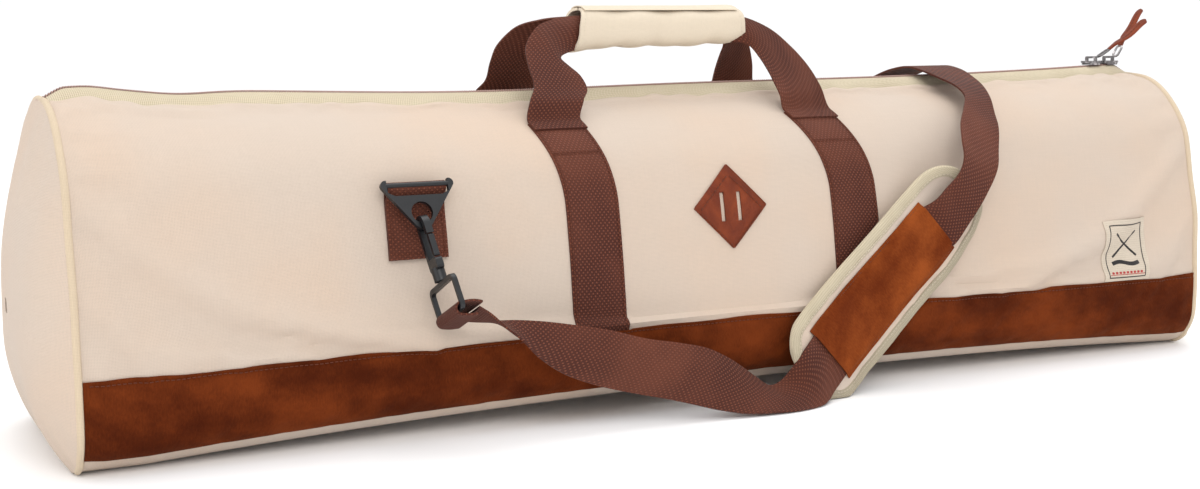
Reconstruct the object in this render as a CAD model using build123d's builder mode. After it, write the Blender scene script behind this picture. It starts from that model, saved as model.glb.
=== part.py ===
"""Drum hardware bag: a long soft case with a ridge zip, carry handles and a shoulder strap.

Millimetres. +X runs along the bag, +Y to its back, +Z up. The origin is the centre of
the base, on the floor. Every piece is its own solid, written as its own STEP file.
"""
from build123d import *
import os
from math import asin, cos, degrees, radians, sin

os.makedirs("parts", exist_ok=True)

# ---------------------------------------------------------------- driving dimensions
LENGTH = 1120.0        # between the two piped ends
WIDTH = 240.0          # across the base
CORNER_R = 40.0        # rounded lower edges
SIDE_R = 677.0         # gentle curve of each tall side
SIDE_LEAN = 15.0       # degrees that the side has turned where the crown starts
CROWN_R = 88.0         # round shoulders below the zip
END_DOME = 34.0        # how far the stuffed ends stand out

CANVAS = 1.5
FOAM = 5.0
LINING = 0.8
BOARD = 4.0
WEBBING = 50.0
WEB_T = 1.8
PIPING_R = 3.0

SUEDE_LOW, SUEDE_HIGH = 20.0, 77.0    # heights of the lower band's edges
HINGE_Z = 225.0                       # the panel folds outward above this height
MOUTH_LEFT, MOUTH_RIGHT = -485.0, 240.0
LIP_GAP = 1.0                         # between an opening panel and the fixed one

HANDLE_X = 133.0                      # centre of each handle leg
LEG_TOP_Z = 262.0                     # last row of stitching on a handle leg
GRIP_LEFT, GRIP_RIGHT = -98.0, 72.0
GRIP_LOW, GRIP_HIGH = 312.0, 350.0
GRIP_DEPTH = 19.0

FRONT_TAB_X, BACK_TAB_X = -288.0, 430.0
TAB_LOW, RING_Z = 153.0, 210.0
RING_BAR_R = 2.2
HOOK_LEAN = 8.0                       # degrees, sideways, as the strap pulls it

HALF = LENGTH / 2
FRONT, BACK = -1, 1

# ---------------------------------------------------------------- the section
# Going up one side, the outline is three tangent arcs. A place on it is the angle of
# its outward normal above the horizontal: -90 at the floor, 90 at the top seam.
LEAN = radians(SIDE_LEAN)
SIDE_CY = WIDTH / 2 - SIDE_R
CROWN_CY = SIDE_CY + (SIDE_R - CROWN_R) * cos(LEAN)
CROWN_CZ = CORNER_R + (SIDE_R - CROWN_R) * sin(LEAN)
TOP_Z = CROWN_CZ + CROWN_R
# (distance of the centre from the middle plane, height of the centre, radius)
ARCS = [
    (WIDTH / 2 - CORNER_R, CORNER_R, CORNER_R),
    (SIDE_CY, CORNER_R, SIDE_R),
    (CROWN_CY, CROWN_CZ, CROWN_R),
]
JOINS = [-90.0, 0.0, SIDE_LEAN, 90.0]


def angle_at(height):
    """The outline's angle at a height above the floor."""
    for (_, cz, r), top in zip(ARCS, JOINS[1:]):
        angle = degrees(asin(max(-1.0, min(1.0, (height - cz) / r))))
        if angle <= top:
            return angle
    return 90.0


def spot(side, angle, depth=0.0):
    """(y, z) of the outline at an angle, moved inward by depth."""
    index = 0 if angle < 0 else 1 if angle < SIDE_LEAN else 2
    cy, cz, r = ARCS[index]
    a = radians(angle)
    return side * (cy + (r - depth) * cos(a)), cz + (r - depth) * sin(a)


def trace(side, depth, start, end):
    """Arcs along the outline, from one angle to another, in the current BuildLine."""
    low, high = min(start, end), max(start, end)
    stops = [low] + [j for j in JOINS if low < j < high] + [high]
    if end < start:
        stops.reverse()
    for a, b in zip(stops, stops[1:]):
        ThreePointArc(spot(side, a, depth), spot(side, (a + b) / 2, depth), spot(side, b, depth))


def wall(side, outer, inner, start, end, x0, x1, mode=Mode.ADD):
    """A stretch of one side's wall between two depths, extruded along the bag."""
    with BuildSketch(Plane.YZ.offset(x0), mode=Mode.PRIVATE) as profile:
        with BuildLine():
            trace(side, outer, start, end)
            Line(spot(side, end, outer), spot(side, end, inner))
            trace(side, inner, end, start)
            Line(spot(side, start, inner), spot(side, start, outer))
        make_face()
    extrude(profile.sketch, amount=x1 - x0, mode=mode)


def trough(outer, inner, top, x0, x1):
    """The floor and both sides up to an angle, as one folded sheet."""
    with BuildSketch(Plane.YZ.offset(x0), mode=Mode.PRIVATE) as profile:
        with BuildLine():
            trace(FRONT, outer, top, -90)
            Line(spot(FRONT, -90, outer), spot(BACK, -90, outer))
            trace(BACK, outer, -90, top)
            Line(spot(BACK, top, outer), spot(BACK, top, inner))
            trace(BACK, inner, top, -90)
            Line(spot(BACK, -90, inner), spot(FRONT, -90, inner))
            trace(FRONT, inner, -90, top)
            Line(spot(FRONT, top, inner), spot(FRONT, top, outer))
        make_face()
    extrude(profile.sketch, amount=x1 - x0)


def closed_outline(depth=0.0):
    """The whole section, in the current BuildLine."""
    trace(FRONT, depth, 90, -90)
    Line(spot(FRONT, -90, depth), spot(BACK, -90, depth))
    trace(BACK, depth, -90, 90)
    Line(spot(BACK, 90, depth), spot(FRONT, 90, depth))


def keep_xz(*outline):
    """Keeps only what lies behind an outline drawn in X and Z."""
    with BuildSketch(Plane.XZ, mode=Mode.PRIVATE) as cutter:
        with BuildLine():
            Polyline(*outline, close=True)
        make_face()
    extrude(cutter.sketch, amount=WIDTH, both=True, mode=Mode.INTERSECT)


def save(builder, name):
    builder.part.label = name
    export_step(builder.part, f"parts/{name}.step")


SIDES = {"front": FRONT, "back": BACK}
HINGE = angle_at(HINGE_Z)
LEG_TOP = angle_at(LEG_TOP_Z)
END_SEAM = HALF - PIPING_R

# ---------------------------------------------------------------- fabric body
with BuildPart() as bottom_panel:
    trough(0, CANVAS, angle_at(SUEDE_LOW) - 0.5, -END_SEAM, END_SEAM)
save(bottom_panel, "bottom_panel")

with BuildPart() as base_board:
    with BuildSketch(Plane.XY.offset(CANVAS)):
        RectangleRounded(LENGTH - 30, WIDTH - 2 * CORNER_R - 4, 20)
    extrude(amount=BOARD)
save(base_board, "base_board")

with BuildPart() as lining:
    trough(CANVAS + FOAM, CANVAS + FOAM + LINING, HINGE - 1.5, -END_SEAM + 8, END_SEAM - 8)
save(lining, "lining")

for word, side in SIDES.items():
    seam = angle_at(SUEDE_LOW)
    with BuildPart() as panel:
        wall(side, 0, CANVAS, seam, HINGE - 0.4, -END_SEAM, END_SEAM)
        wall(side, 0, CANVAS, HINGE - 0.4, 90, -END_SEAM, MOUTH_LEFT - LIP_GAP)
        wall(side, 0, CANVAS, HINGE - 0.4, 90, MOUTH_RIGHT + LIP_GAP, END_SEAM)
    save(panel, f"{word}_panel")

    with BuildPart() as foam:
        wall(side, CANVAS, CANVAS + FOAM, angle_at(30), HINGE - 1.5, -END_SEAM + 8, END_SEAM - 8)
    save(foam, f"{word}_foam")

    with BuildPart() as suede_band:
        wall(side, -1.2, 0, seam, angle_at(SUEDE_HIGH), -END_SEAM, END_SEAM)
    save(suede_band, f"suede_band_{word}")

    with BuildPart() as lip:
        wall(side, 0, CANVAS, HINGE, 90, MOUTH_LEFT, MOUTH_RIGHT)
    save(lip, f"{word}_lip_panel")

    with BuildPart() as lip_foam:
        wall(side, CANVAS, CANVAS + 3, HINGE + 2, 84, MOUTH_LEFT + 5, MOUTH_RIGHT - 5)
    save(lip_foam, f"{word}_lip_foam")

# ---------------------------------------------------------------- stuffed ends and piping
DOME_STEPS = [(0.0, 1.0), (0.55, 0.86), (0.86, 0.6), (1.0, 0.28)]   # (share of dome, scale)
DOME_CENTRE_Z = 120.0


def dome(x_seam, outward, depth):
    """A closed cushion-like cap on the end outline, standing out along X."""
    with BuildPart() as cap:
        for share, scale_by in DOME_STEPS:
            x = x_seam + outward * share * END_DOME
            with BuildSketch(Plane.YZ.offset(x)):
                with BuildSketch(Plane.XY, mode=Mode.PRIVATE) as full:
                    with BuildLine():
                        closed_outline(depth)
                    make_face()
                middle = Location((0, DOME_CENTRE_Z * (1 - scale_by)))
                add(full.sketch.scale(scale_by).moved(middle))
        loft()
    return cap.part


for word, outward in {"left": -1, "right": 1}.items():
    x_seam = outward * (HALF + PIPING_R)
    outer_cap = dome(x_seam, outward, 0.0)
    inner_cap = dome(x_seam - outward * CANVAS, outward, 0.0)
    with BuildPart() as end_panel:
        add(outer_cap)
        add(inner_cap, mode=Mode.SUBTRACT)
    save(end_panel, f"end_panel_{word}")

    with BuildPart() as piping:
        with BuildLine(Plane.YZ.offset(outward * HALF)):
            closed_outline(PIPING_R)
        start = Plane(origin=(outward * HALF, 0, PIPING_R), x_dir=(1, 0, 0), z_dir=(0, 1, 0))
        with BuildSketch(start):
            Circle(PIPING_R - 0.02)
        sweep()
    save(piping, f"piping_{word}")

# ---------------------------------------------------------------- ridge zip
TAPE_T = 1.0
COIL_LOW, COIL_HIGH = 286.5, 290.0
COIL_IN, COIL_OUT = 0.3, 3.6
STRETCHES = {
    "left": (-END_SEAM, MOUTH_LEFT - LIP_GAP),
    "mouth": (MOUTH_LEFT, MOUTH_RIGHT),
    "right": (MOUTH_RIGHT + LIP_GAP, END_SEAM),
}
SEAM_Y = CROWN_CY


def tape(side, x0, x1):
    """Half of the zip's woven tape, rising from the panel's top seam to the coil."""
    with BuildSketch(Plane.YZ.offset(x0), mode=Mode.PRIVATE) as profile:
        with BuildLine():
            Polyline(
                (side * SEAM_Y, TOP_Z - TAPE_T),
                (side * SEAM_Y, TOP_Z),
                (side * (COIL_OUT + 0.3), COIL_LOW + TAPE_T),
                (side * (COIL_OUT + 0.3), COIL_LOW),
                close=True,
            )
        make_face()
    extrude(profile.sketch, amount=x1 - x0)


def coil(side, x0, x1):
    """Half of the zip's coil as one smooth bead."""
    middle = side * (COIL_IN + COIL_OUT) / 2
    with BuildSketch(Plane.YZ.offset(x0), mode=Mode.PRIVATE) as profile:
        with Locations((middle, (COIL_LOW + COIL_HIGH) / 2)):
            RectangleRounded(COIL_OUT - COIL_IN, COIL_HIGH - COIL_LOW, 1.2)
    extrude(profile.sketch, amount=x1 - x0)


for word, side in SIDES.items():
    with BuildPart() as lip_tape:
        tape(side, *STRETCHES["mouth"])
    save(lip_tape, f"zip_tape_{word}")
    with BuildPart() as lip_coil:
        coil(side, *STRETCHES["mouth"])
    save(lip_coil, f"zip_coil_{word}")

with BuildPart() as end_tapes:
    for stretch in ("left", "right"):
        for side in SIDES.values():
            tape(side, *STRETCHES[stretch])
save(end_tapes, "zip_tape_ends")

with BuildPart() as end_coils:
    for stretch in ("left", "right"):
        for side in SIDES.values():
            coil(side, *STRETCHES[stretch])
save(end_coils, "zip_coil_ends")

# Two sliders ride on the coil, each with a small arch that holds its pull.
SLIDER_L, SLIDER_W, SLIDER_T = 20.0, 13.0, 2.0
SLIDER_Z = COIL_HIGH + 0.5
FLANGE_LOW = 288.4
BAIL_H = 4.0
LEFT_SLIDER_X, RIGHT_SLIDER_X = 517.0, 541.0
LINK_L, TAB_L, TAB_W, TAB_T = 16.0, 52.0, 9.0, 2.4
PULL_AIM = {"left": (32.0, -13.0), "right": (50.0, 13.0)}   # degrees up, degrees sideways


def slider(x):
    """Body of a zip slider: a plate over the coil, two flanges and the arch."""
    top = SLIDER_Z + SLIDER_T
    with BuildSketch(Plane.XY.offset(SLIDER_Z)) as plate:
        with Locations((x, 0)):
            RectangleRounded(SLIDER_L, SLIDER_W, 3)
    extrude(plate.sketch, amount=SLIDER_T)
    with BuildSketch(Plane.XY.offset(FLANGE_LOW)) as flanges:
        with Locations((x, SLIDER_W / 2 - 0.6), (x, 0.6 - SLIDER_W / 2)):
            Rectangle(SLIDER_L - 6, 1.2)
    extrude(flanges.sketch, amount=SLIDER_Z + 0.5 - FLANGE_LOW)
    with BuildSketch(Plane.XY.offset(top - 0.4)) as posts:
        with Locations((x - 6, 0), (x + 6, 0)):
            Rectangle(2.4, 3.0)
    extrude(posts.sketch, amount=BAIL_H + 0.4)
    with BuildSketch(Plane.XY.offset(top + BAIL_H - 1.2)) as arch:
        with Locations((x, 0)):
            RectangleRounded(14.4, 3.0, 1.0)
    extrude(arch.sketch, amount=2.2)


def pull_plane(x, lift, turn):
    """Plane of a pull: its X runs out along the pull, its Z is the pull's broad face."""
    a, b = radians(lift), radians(turn)
    out = Vector(cos(a) * cos(b), cos(a) * sin(b), sin(a))
    across = Vector(-sin(b), cos(b), 0)
    origin = (x, 0, SLIDER_Z + SLIDER_T + BAIL_H - 0.1)
    return Plane(origin=origin, x_dir=out, z_dir=out.cross(across))


for word, x in {"left": LEFT_SLIDER_X, "right": RIGHT_SLIDER_X}.items():
    with BuildPart() as zip_slider:
        slider(x)
    save(zip_slider, f"zip_slider_{word}")

    plane = pull_plane(x + 8.6, *PULL_AIM[word])
    with BuildPart() as link:
        with BuildSketch(plane.offset(-0.8)):
            with Locations((LINK_L / 2, 0)):
                SlotOverall(LINK_L, 8)
                SlotOverall(LINK_L - 4, 4.4, mode=Mode.SUBTRACT)
        extrude(amount=1.6)
    save(link, f"pull_link_{word}")

    with BuildPart() as pull_tab:
        with BuildSketch(plane.offset(-TAB_T / 2)):
            with Locations((LINK_L + TAB_L / 2 + 0.1, 0)):
                SlotOverall(TAB_L, TAB_W)
        extrude(amount=TAB_T)
    save(pull_tab, f"pull_tab_{word}")

# ---------------------------------------------------------------- carry handles
LEGS = (-HANDLE_X, HANDLE_X)
LEG_BASE = angle_at(SUEDE_HIGH) + 0.2
BAR_LOW, BAR_HIGH = GRIP_LOW + 7, GRIP_HIGH - 7
BAR_IN, BAR_OUT = 7.0, 7.0 + 2 * WEB_T + 0.6


def loop_leg(side, x):
    """One handle leg standing from its last stitch up to the grip."""
    knee = spot(side, LEG_TOP + 14, -5)
    with BuildSketch(Plane.YZ.offset(x - WEBBING / 2)) as profile:
        with BuildLine():
            Polyline(
                spot(side, LEG_TOP + 0.3, -0.3),
                knee,
                (side * BAR_IN, BAR_LOW),
                (side * BAR_IN, BAR_HIGH),
                (side * (BAR_IN + WEB_T), BAR_HIGH),
                (side * (BAR_IN + WEB_T), BAR_LOW),
                (knee[0] + side * WEB_T, knee[1] + 1.2),
                spot(side, LEG_TOP + 0.3, -0.3 - WEB_T),
                close=True,
            )
        make_face()
    extrude(profile.sketch, amount=WEBBING)


for word, side in SIDES.items():
    with BuildPart() as legs:
        for x in LEGS:
            wall(side, -WEB_T, 0, LEG_BASE, HINGE - 0.4, x - WEBBING / 2, x + WEBBING / 2)
    save(legs, f"handle_leg_lower_{word}")

    with BuildPart() as lip_legs:
        for x in LEGS:
            wall(side, -WEB_T, 0, HINGE, LEG_TOP, x - WEBBING / 2, x + WEBBING / 2)
    save(lip_legs, f"handle_leg_upper_{word}")

    with BuildPart() as loop_web:
        for x in LEGS:
            loop_leg(side, x)
        with BuildSketch(Plane.YZ.offset(LEGS[0] - WEBBING / 2)):
            with Locations((side * (BAR_IN + BAR_OUT) / 2, (BAR_LOW + BAR_HIGH) / 2)):
                Rectangle(BAR_OUT - BAR_IN, BAR_HIGH - BAR_LOW)
        extrude(amount=2 * HANDLE_X + WEBBING)
    save(loop_web, f"handle_loop_{word}")

    with BuildPart() as half_grip:
        with BuildSketch(Plane.YZ.offset(GRIP_LEFT)):
            with Locations((side * (GRIP_DEPTH + 0.4) / 2, (GRIP_LOW + GRIP_HIGH) / 2)):
                RectangleRounded(GRIP_DEPTH - 0.4, GRIP_HIGH - GRIP_LOW, 6)
            with Locations((side * (BAR_IN + BAR_OUT) / 2, (BAR_LOW + BAR_HIGH) / 2)):
                Rectangle(BAR_OUT - BAR_IN, BAR_HIGH - BAR_LOW, mode=Mode.SUBTRACT)
        extrude(amount=GRIP_RIGHT - GRIP_LEFT)
    save(half_grip, f"grip_wrap_{word}")

FLAP_T, FLAP_LIFT = 2.0, 0.4
with BuildPart() as grip_flap:
    with BuildSketch(Plane.YZ.offset(GRIP_LEFT)):
        with Locations((1.0, GRIP_HIGH + FLAP_LIFT + FLAP_T / 2)):
            RectangleRounded(26, FLAP_T, 0.9)
    extrude(amount=GRIP_RIGHT - GRIP_LEFT)
save(grip_flap, "grip_flap")

# ---------------------------------------------------------------- sewn-on trim
PATCH_X, PATCH_Z, PATCH_HALF = 8.0, 176.0, 37.0
SLOT_X, SLOT_L, SLOT_W = 8.5, 24.0, 3.4
with BuildPart() as lash_patch:
    wall(FRONT, -2.2, 0, angle_at(120), HINGE - 0.5, -60, 80)
    keep_xz(
        (PATCH_X - PATCH_HALF, PATCH_Z),
        (PATCH_X, PATCH_Z + PATCH_HALF),
        (PATCH_X + PATCH_HALF, PATCH_Z),
        (PATCH_X, PATCH_Z - PATCH_HALF),
    )
    with BuildSketch(Plane.XZ):
        with Locations((PATCH_X - SLOT_X, PATCH_Z), (PATCH_X + SLOT_X, PATCH_Z)):
            SlotOverall(SLOT_L, SLOT_W, rotation=90)
    extrude(amount=WIDTH, both=True, mode=Mode.SUBTRACT)
save(lash_patch, "lash_patch")

LABEL_LEFT, LABEL_RIGHT, LABEL_TOP = 434.0, 492.0, 142.0
with BuildPart() as woven_label:
    wall(FRONT, -0.8, 0, angle_at(SUEDE_HIGH) + 0.2, angle_at(LABEL_TOP), LABEL_LEFT, LABEL_RIGHT)
save(woven_label, "woven_label")

# ---------------------------------------------------------------- rings and snap hooks
# A triangular ring turns in the fold of each tab; a swivel snap hook hangs from it.
FOLD_T = 2 * WEB_T
FOLD_R, FOLD_BORE = 5.8, RING_BAR_R + 0.06
RING_Y = abs(spot(FRONT, angle_at(RING_Z), -FOLD_T)[0]) + FOLD_R - 0.8
OUTWARD = 0.48                         # how far the hanging chain leans off the panel
RING_T = 4.0
RING_HALF = 27.0
RING_SLOT = [(-26, 4.2), (26, 4.2), (26, -6.4), (20, -9.4), (-20, -9.4), (-26, -6.4)]
RING_HOLE, RING_HOLE_R = 24.0, 9.0     # below the bar
APEX = 35.5                            # from the bar to the middle of the ring's apex
APEX_R = 9.0
HOOK_R_OUT, HOOK_R_IN = 9.0, 4.6
HOOK_T = 6.0
LIMB = HOOK_R_OUT - HOOK_R_IN
BASE_DOWN, BASE_TALL = 28.0, 10.0      # from the apex down to the hook's solid base
COLLAR_R, COLLAR_L = 5.5, 11.0
STEM_R, STEM_BORE = 2.4, 2.45
EYE_W, EYE_TALL, EYE_BAR = 55.0, 30.0, 4.0
NOSE = 8.0                             # length of the hook's straight nose
GATE_TOP, GATE_LOW = -NOSE - 0.6, -BASE_DOWN + 0.6


def hang(side, x):
    """Planes of a hanging chain: the ring's, then the hook's with X up the hook."""
    centre = Vector(x, side * RING_Y, RING_Z)
    down = Vector(0, side * OUTWARD, -1).normalized()
    along = Vector(-side, 0, 0)
    ring_plane = Plane(origin=centre, x_dir=along, z_dir=along.cross(-down))
    lean = radians(HOOK_LEAN)
    hook_down = down * cos(lean) + along * sin(lean)
    hook_flat = along * cos(lean) - down * sin(lean)
    hook_plane = Plane(origin=centre + down * APEX, x_dir=-hook_down, z_dir=hook_flat)
    return ring_plane, hook_plane


def ring(plane):
    """Triangular ring: round bar on top, solid plate with a round hole, narrow apex."""
    with BuildSketch(plane.offset(-RING_T / 2)) as outline:
        with BuildSketch(Plane.XY, mode=Mode.PRIVATE) as corners:
            with Locations((-RING_HALF, 0), (RING_HALF, 0)):
                Circle(4)
            with Locations((0, 6.5 - APEX)):
                Circle(APEX_R)
        make_hull(corners.sketch.edges())
        with BuildLine():
            Polyline(*RING_SLOT, close=True)
        make_face(mode=Mode.SUBTRACT)
        with Locations((0, -RING_HOLE)):
            Circle(RING_HOLE_R, mode=Mode.SUBTRACT)
    extrude(outline.sketch, amount=RING_T)
    bar_end = plane.origin - plane.x_dir * RING_HALF
    with BuildSketch(Plane(origin=bar_end, x_dir=plane.z_dir, z_dir=plane.x_dir)) as bar:
        Circle(RING_BAR_R)
    extrude(bar.sketch, amount=2 * RING_HALF)


def hook(plane):
    """Snap hook in its own plane: X up the hook, Y towards the gate side."""
    base_x = -BASE_DOWN - BASE_TALL / 2
    limb_y = (HOOK_R_OUT + HOOK_R_IN) / 2
    with BuildSketch(plane.offset(-HOOK_T / 2)) as outline:
        Circle(HOOK_R_OUT)
        with Locations((-BASE_DOWN / 2 - 2, -limb_y)):
            Rectangle(BASE_DOWN + 4, LIMB)
        with Locations((base_x, 0)):
            RectangleRounded(BASE_TALL, 2 * HOOK_R_OUT, 3)
        Circle(HOOK_R_IN, mode=Mode.SUBTRACT)
        with Locations((-BASE_DOWN / 2, (HOOK_R_OUT + 1 - HOOK_R_IN) / 2)):
            Rectangle(BASE_DOWN, HOOK_R_OUT + 1 + HOOK_R_IN, mode=Mode.SUBTRACT)
        with Locations((-NOSE / 2, limb_y)):
            Rectangle(NOSE, LIMB)
    extrude(outline.sketch, amount=HOOK_T)
    collar_top = plane.origin - plane.x_dir * (BASE_DOWN + BASE_TALL - 2)
    down = -plane.x_dir
    with BuildSketch(Plane(origin=collar_top, x_dir=plane.y_dir, z_dir=down)) as collar:
        Circle(COLLAR_R)
    extrude(collar.sketch, amount=COLLAR_L)
    bore_top = plane.origin - plane.x_dir * (BASE_DOWN + 4)
    with BuildSketch(Plane(origin=bore_top, x_dir=plane.y_dir, z_dir=down)) as bore:
        Circle(STEM_BORE)
    extrude(bore.sketch, amount=BASE_TALL + COLLAR_L, mode=Mode.SUBTRACT)


COLLAR_END = BASE_DOWN + BASE_TALL - 2 + COLLAR_L


def swivel_eye(plane):
    """Eye below the collar: a stem in the bore and a flat loop for the strap."""
    stem_top = plane.origin - plane.x_dir * (BASE_DOWN + 5)
    with BuildSketch(Plane(origin=stem_top, x_dir=plane.y_dir, z_dir=-plane.x_dir)) as stem:
        Circle(STEM_R)
    extrude(stem.sketch, amount=COLLAR_END - BASE_DOWN - 5 + 2)
    with BuildSketch(plane.offset(-EYE_BAR / 2)) as loop:
        with Locations((-COLLAR_END - 0.6 - EYE_TALL / 2, 0)):
            RectangleRounded(EYE_TALL, EYE_W, 6)
            RectangleRounded(EYE_TALL - 2 * EYE_BAR, EYE_W - 2 * EYE_BAR + 2, 3, mode=Mode.SUBTRACT)
    extrude(loop.sketch, amount=EYE_BAR)


def gate(plane):
    """Sprung bar that closes the hook between its arch and its base."""
    with BuildSketch(plane.offset(-HOOK_T / 2 + 0.6)) as bar:
        with Locations(((GATE_TOP + GATE_LOW) / 2, (HOOK_R_OUT + HOOK_R_IN) / 2)):
            RectangleRounded(GATE_TOP - GATE_LOW, LIMB - 0.8, 1.6)
    extrude(bar.sketch, amount=HOOK_T - 1.2)


for word, side, x in (("front", FRONT, FRONT_TAB_X), ("back", BACK, BACK_TAB_X)):
    ring_plane, hook_plane = hang(side, x)
    left, right = x - WEBBING / 2, x + WEBBING / 2
    with BuildPart() as tab:
        wall(side, -FOLD_T, 0, angle_at(TAB_LOW), angle_at(RING_Z + 4), left, right)
        with BuildSketch(Plane.YZ.offset(left)):
            with Locations((side * RING_Y, RING_Z)):
                Circle(FOLD_R)
        extrude(amount=WEBBING)
        with BuildSketch(Plane.YZ.offset(left)):
            with Locations((side * RING_Y, RING_Z)):
                Circle(FOLD_BORE)
        extrude(amount=WEBBING, mode=Mode.SUBTRACT)
    save(tab, f"ring_tab_{word}")

    with BuildPart() as triangle_ring:
        ring(ring_plane)
    save(triangle_ring, f"triangle_ring_{word}")
    with BuildPart() as snap_hook:
        hook(hook_plane)
    save(snap_hook, f"snap_hook_{word}")
    with BuildPart() as hook_eye:
        swivel_eye(hook_plane)
    save(hook_eye, f"swivel_eye_{word}")
    with BuildPart() as hook_gate:
        gate(hook_plane)
    save(hook_gate, f"hook_gate_{word}")
    axis = hook_plane.x_dir
    base = hook_plane.origin - axis * (BASE_DOWN - 2.5) + hook_plane.y_dir * 6.8
    print(word, "ring bar", ring_plane.origin, "hook axis", axis, "apex", hook_plane.origin)
    print(word, "gate pivot", base, "gate axis", hook_plane.z_dir)
    print(word, "eye bar", hook_plane.origin - axis * (COLLAR_END + 0.6 + EYE_TALL - EYE_BAR / 2))

# ---------------------------------------------------------------- shoulder strap
# Flat webbing. In front it leaves the eye edge-on, turns to face outward, sags to the
# floor, folds and climbs through the pad to the ridge. Behind it comes down to the
# floor, folds again and rises to the other eye.
EYES = {}
for word, side, x in (("front", FRONT, FRONT_TAB_X), ("back", BACK, BACK_TAB_X)):
    _, hook_plane = hang(side, x)
    EYES[word] = hook_plane.origin - hook_plane.x_dir * (COLLAR_END + 0.6 + EYE_TALL - EYE_BAR / 2)
FOLDS = {"front": Vector(30, -166, 0), "back": Vector(262, 166, 0)}
STRAP_T = 2.0
RUN_THICK = 3.0
# Edges of the sagging run: (share of the way from eye to fold, height)
RUN_TOP = [(0.15, 99), (0.3, 94), (0.42, 87), (0.57, 73), (0.75, 62), (0.9, 40), (1.0, 12)]
RUN_BOTTOM = [(1.0, 0.5), (0.9, 0.5), (0.72, 14), (0.57, 25), (0.44, 34), (0.24, 61), (0.15, 85)]


def strap_run(word):
    """The slack run between an eye and the fold on the floor, as one plain solid."""
    eye, fold = EYES[word], FOLDS[word]
    start = Vector(eye.X, eye.Y, 0)
    way = (fold - start).normalized()
    reach = (fold - start).length
    face = Plane(origin=start, x_dir=way, z_dir=way.cross(Vector(0, 0, 1)))
    with BuildSketch(face.offset(-RUN_THICK / 2)) as sag:
        with BuildLine():
            Polyline(*[(share * reach, z) for share, z in RUN_TOP + RUN_BOTTOM], close=True)
        make_face()
    extrude(sag.sketch, amount=RUN_THICK)


def strap_end(word):
    """The webbing's edge-on end beside the eye."""
    eye, fold = EYES[word], FOLDS[word]
    step = fold.X - eye.X
    x0 = eye.X + (3.6 if step > 0 else -3.6)
    x1, x2 = eye.X + 0.1 * step, eye.X + (RUN_TOP[0][0] - 0.002) * step
    with BuildSketch(Plane.XZ.offset(-eye.Y)) as edge_on:
        with BuildLine():
            Polyline(
                (x0, eye.Z + 1), (x1, 95), (x2, 95), (x2, 92), (x1, 92), (x0, eye.Z - 2), close=True
            )
        make_face()
    extrude(edge_on.sketch, amount=WEBBING / 2 - 1, both=True)


with BuildPart() as front_run:
    strap_run("front")
save(front_run, "shoulder_strap_lower")

with BuildPart() as back_run:
    strap_run("back")
save(back_run, "shoulder_strap_back_lower")

with BuildPart() as strap_ends:
    for word in EYES:
        strap_end(word)
save(strap_ends, "shoulder_strap_ends")


STRAP_LIFT = 3.0
STRAP_OUT = -STRAP_LIFT - STRAP_T
OVER_TOP = 74.0
with BuildPart() as strap_front:
    wall(FRONT, STRAP_OUT, -STRAP_LIFT, angle_at(196), OVER_TOP, 200, 340)
    keep_xz((248, 196), (270, 240), (262, 294), (316, 294), (318, 240), (298, 196))
save(strap_front, "shoulder_strap_upper")

with BuildPart() as strap_back:
    wall(BACK, STRAP_OUT, -STRAP_LIFT, angle_at(12), OVER_TOP, 200, 340)
    keep_xz((262, 294), (262, 240), (242, 8), (293, 8), (313, 240), (316, 294))
save(strap_back, "shoulder_strap_back")

CROSS_Z = COIL_HIGH + 1.2
with BuildPart() as strap_crossing:
    with BuildSketch(Plane.YZ.offset(262)):
        with BuildLine():
            Polyline(
                spot(FRONT, OVER_TOP, -STRAP_LIFT), (-8, CROSS_Z), (8, CROSS_Z),
                spot(BACK, OVER_TOP, -STRAP_LIFT), spot(BACK, OVER_TOP, STRAP_OUT),
                (8, CROSS_Z + STRAP_T), (-8, CROSS_Z + STRAP_T), spot(FRONT, OVER_TOP, STRAP_OUT),
                close=True,
            )
        make_face()
    extrude(amount=WEBBING)
save(strap_crossing, "shoulder_strap_crossing")

ADJUSTER_X, ADJUSTER_Z = 264.0, 120.0
with BuildPart() as strap_adjuster:
    wall(
        BACK, STRAP_OUT - 3.4, STRAP_OUT - 0.4,
        angle_at(ADJUSTER_Z - 16), angle_at(ADJUSTER_Z + 16), ADJUSTER_X - 30, ADJUSTER_X + 30,
    )
    with BuildSketch(Plane.XZ):
        with Locations((ADJUSTER_X, ADJUSTER_Z - 7.5), (ADJUSTER_X, ADJUSTER_Z + 7.5)):
            RectangleRounded(52, 7, 2)
    extrude(amount=WIDTH, both=True, mode=Mode.SUBTRACT)
save(strap_adjuster, "strap_adjuster")

# ---------------------------------------------------------------- shoulder pad
PAD_L, PAD_W, PAD_T, PAD_R = 250.0, 90.0, 7.0, 32.0
PAD_CENTRE_X, PAD_CENTRE_Z = 157.0, 112.0
PAD_TILT, PAD_CLIMB = 6.7, 48.0        # degrees: leaning on the panel, and up along the bag
PAD_FOOT_Y = -135.0                    # where the pad's back face meets the floor
PATCH_L, PATCH_W, PATCH_T, PATCH_MID = 163.0, 62.0, 1.6, -10.0
CHANNEL = 2.8                          # height of the passage for the strap

tilt, climb = radians(PAD_TILT), radians(PAD_CLIMB)
up_slope = Vector(0, sin(tilt), cos(tilt))
pad_along = Vector(1, 0, 0) * cos(climb) + up_slope * sin(climb)
pad_out = Vector(0, -cos(tilt), sin(tilt))
pad_origin = (PAD_CENTRE_X, PAD_FOOT_Y + PAD_CENTRE_Z * sin(tilt) / cos(tilt), PAD_CENTRE_Z)
pad_plane = Plane(origin=pad_origin, x_dir=pad_along, z_dir=pad_out)

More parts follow.
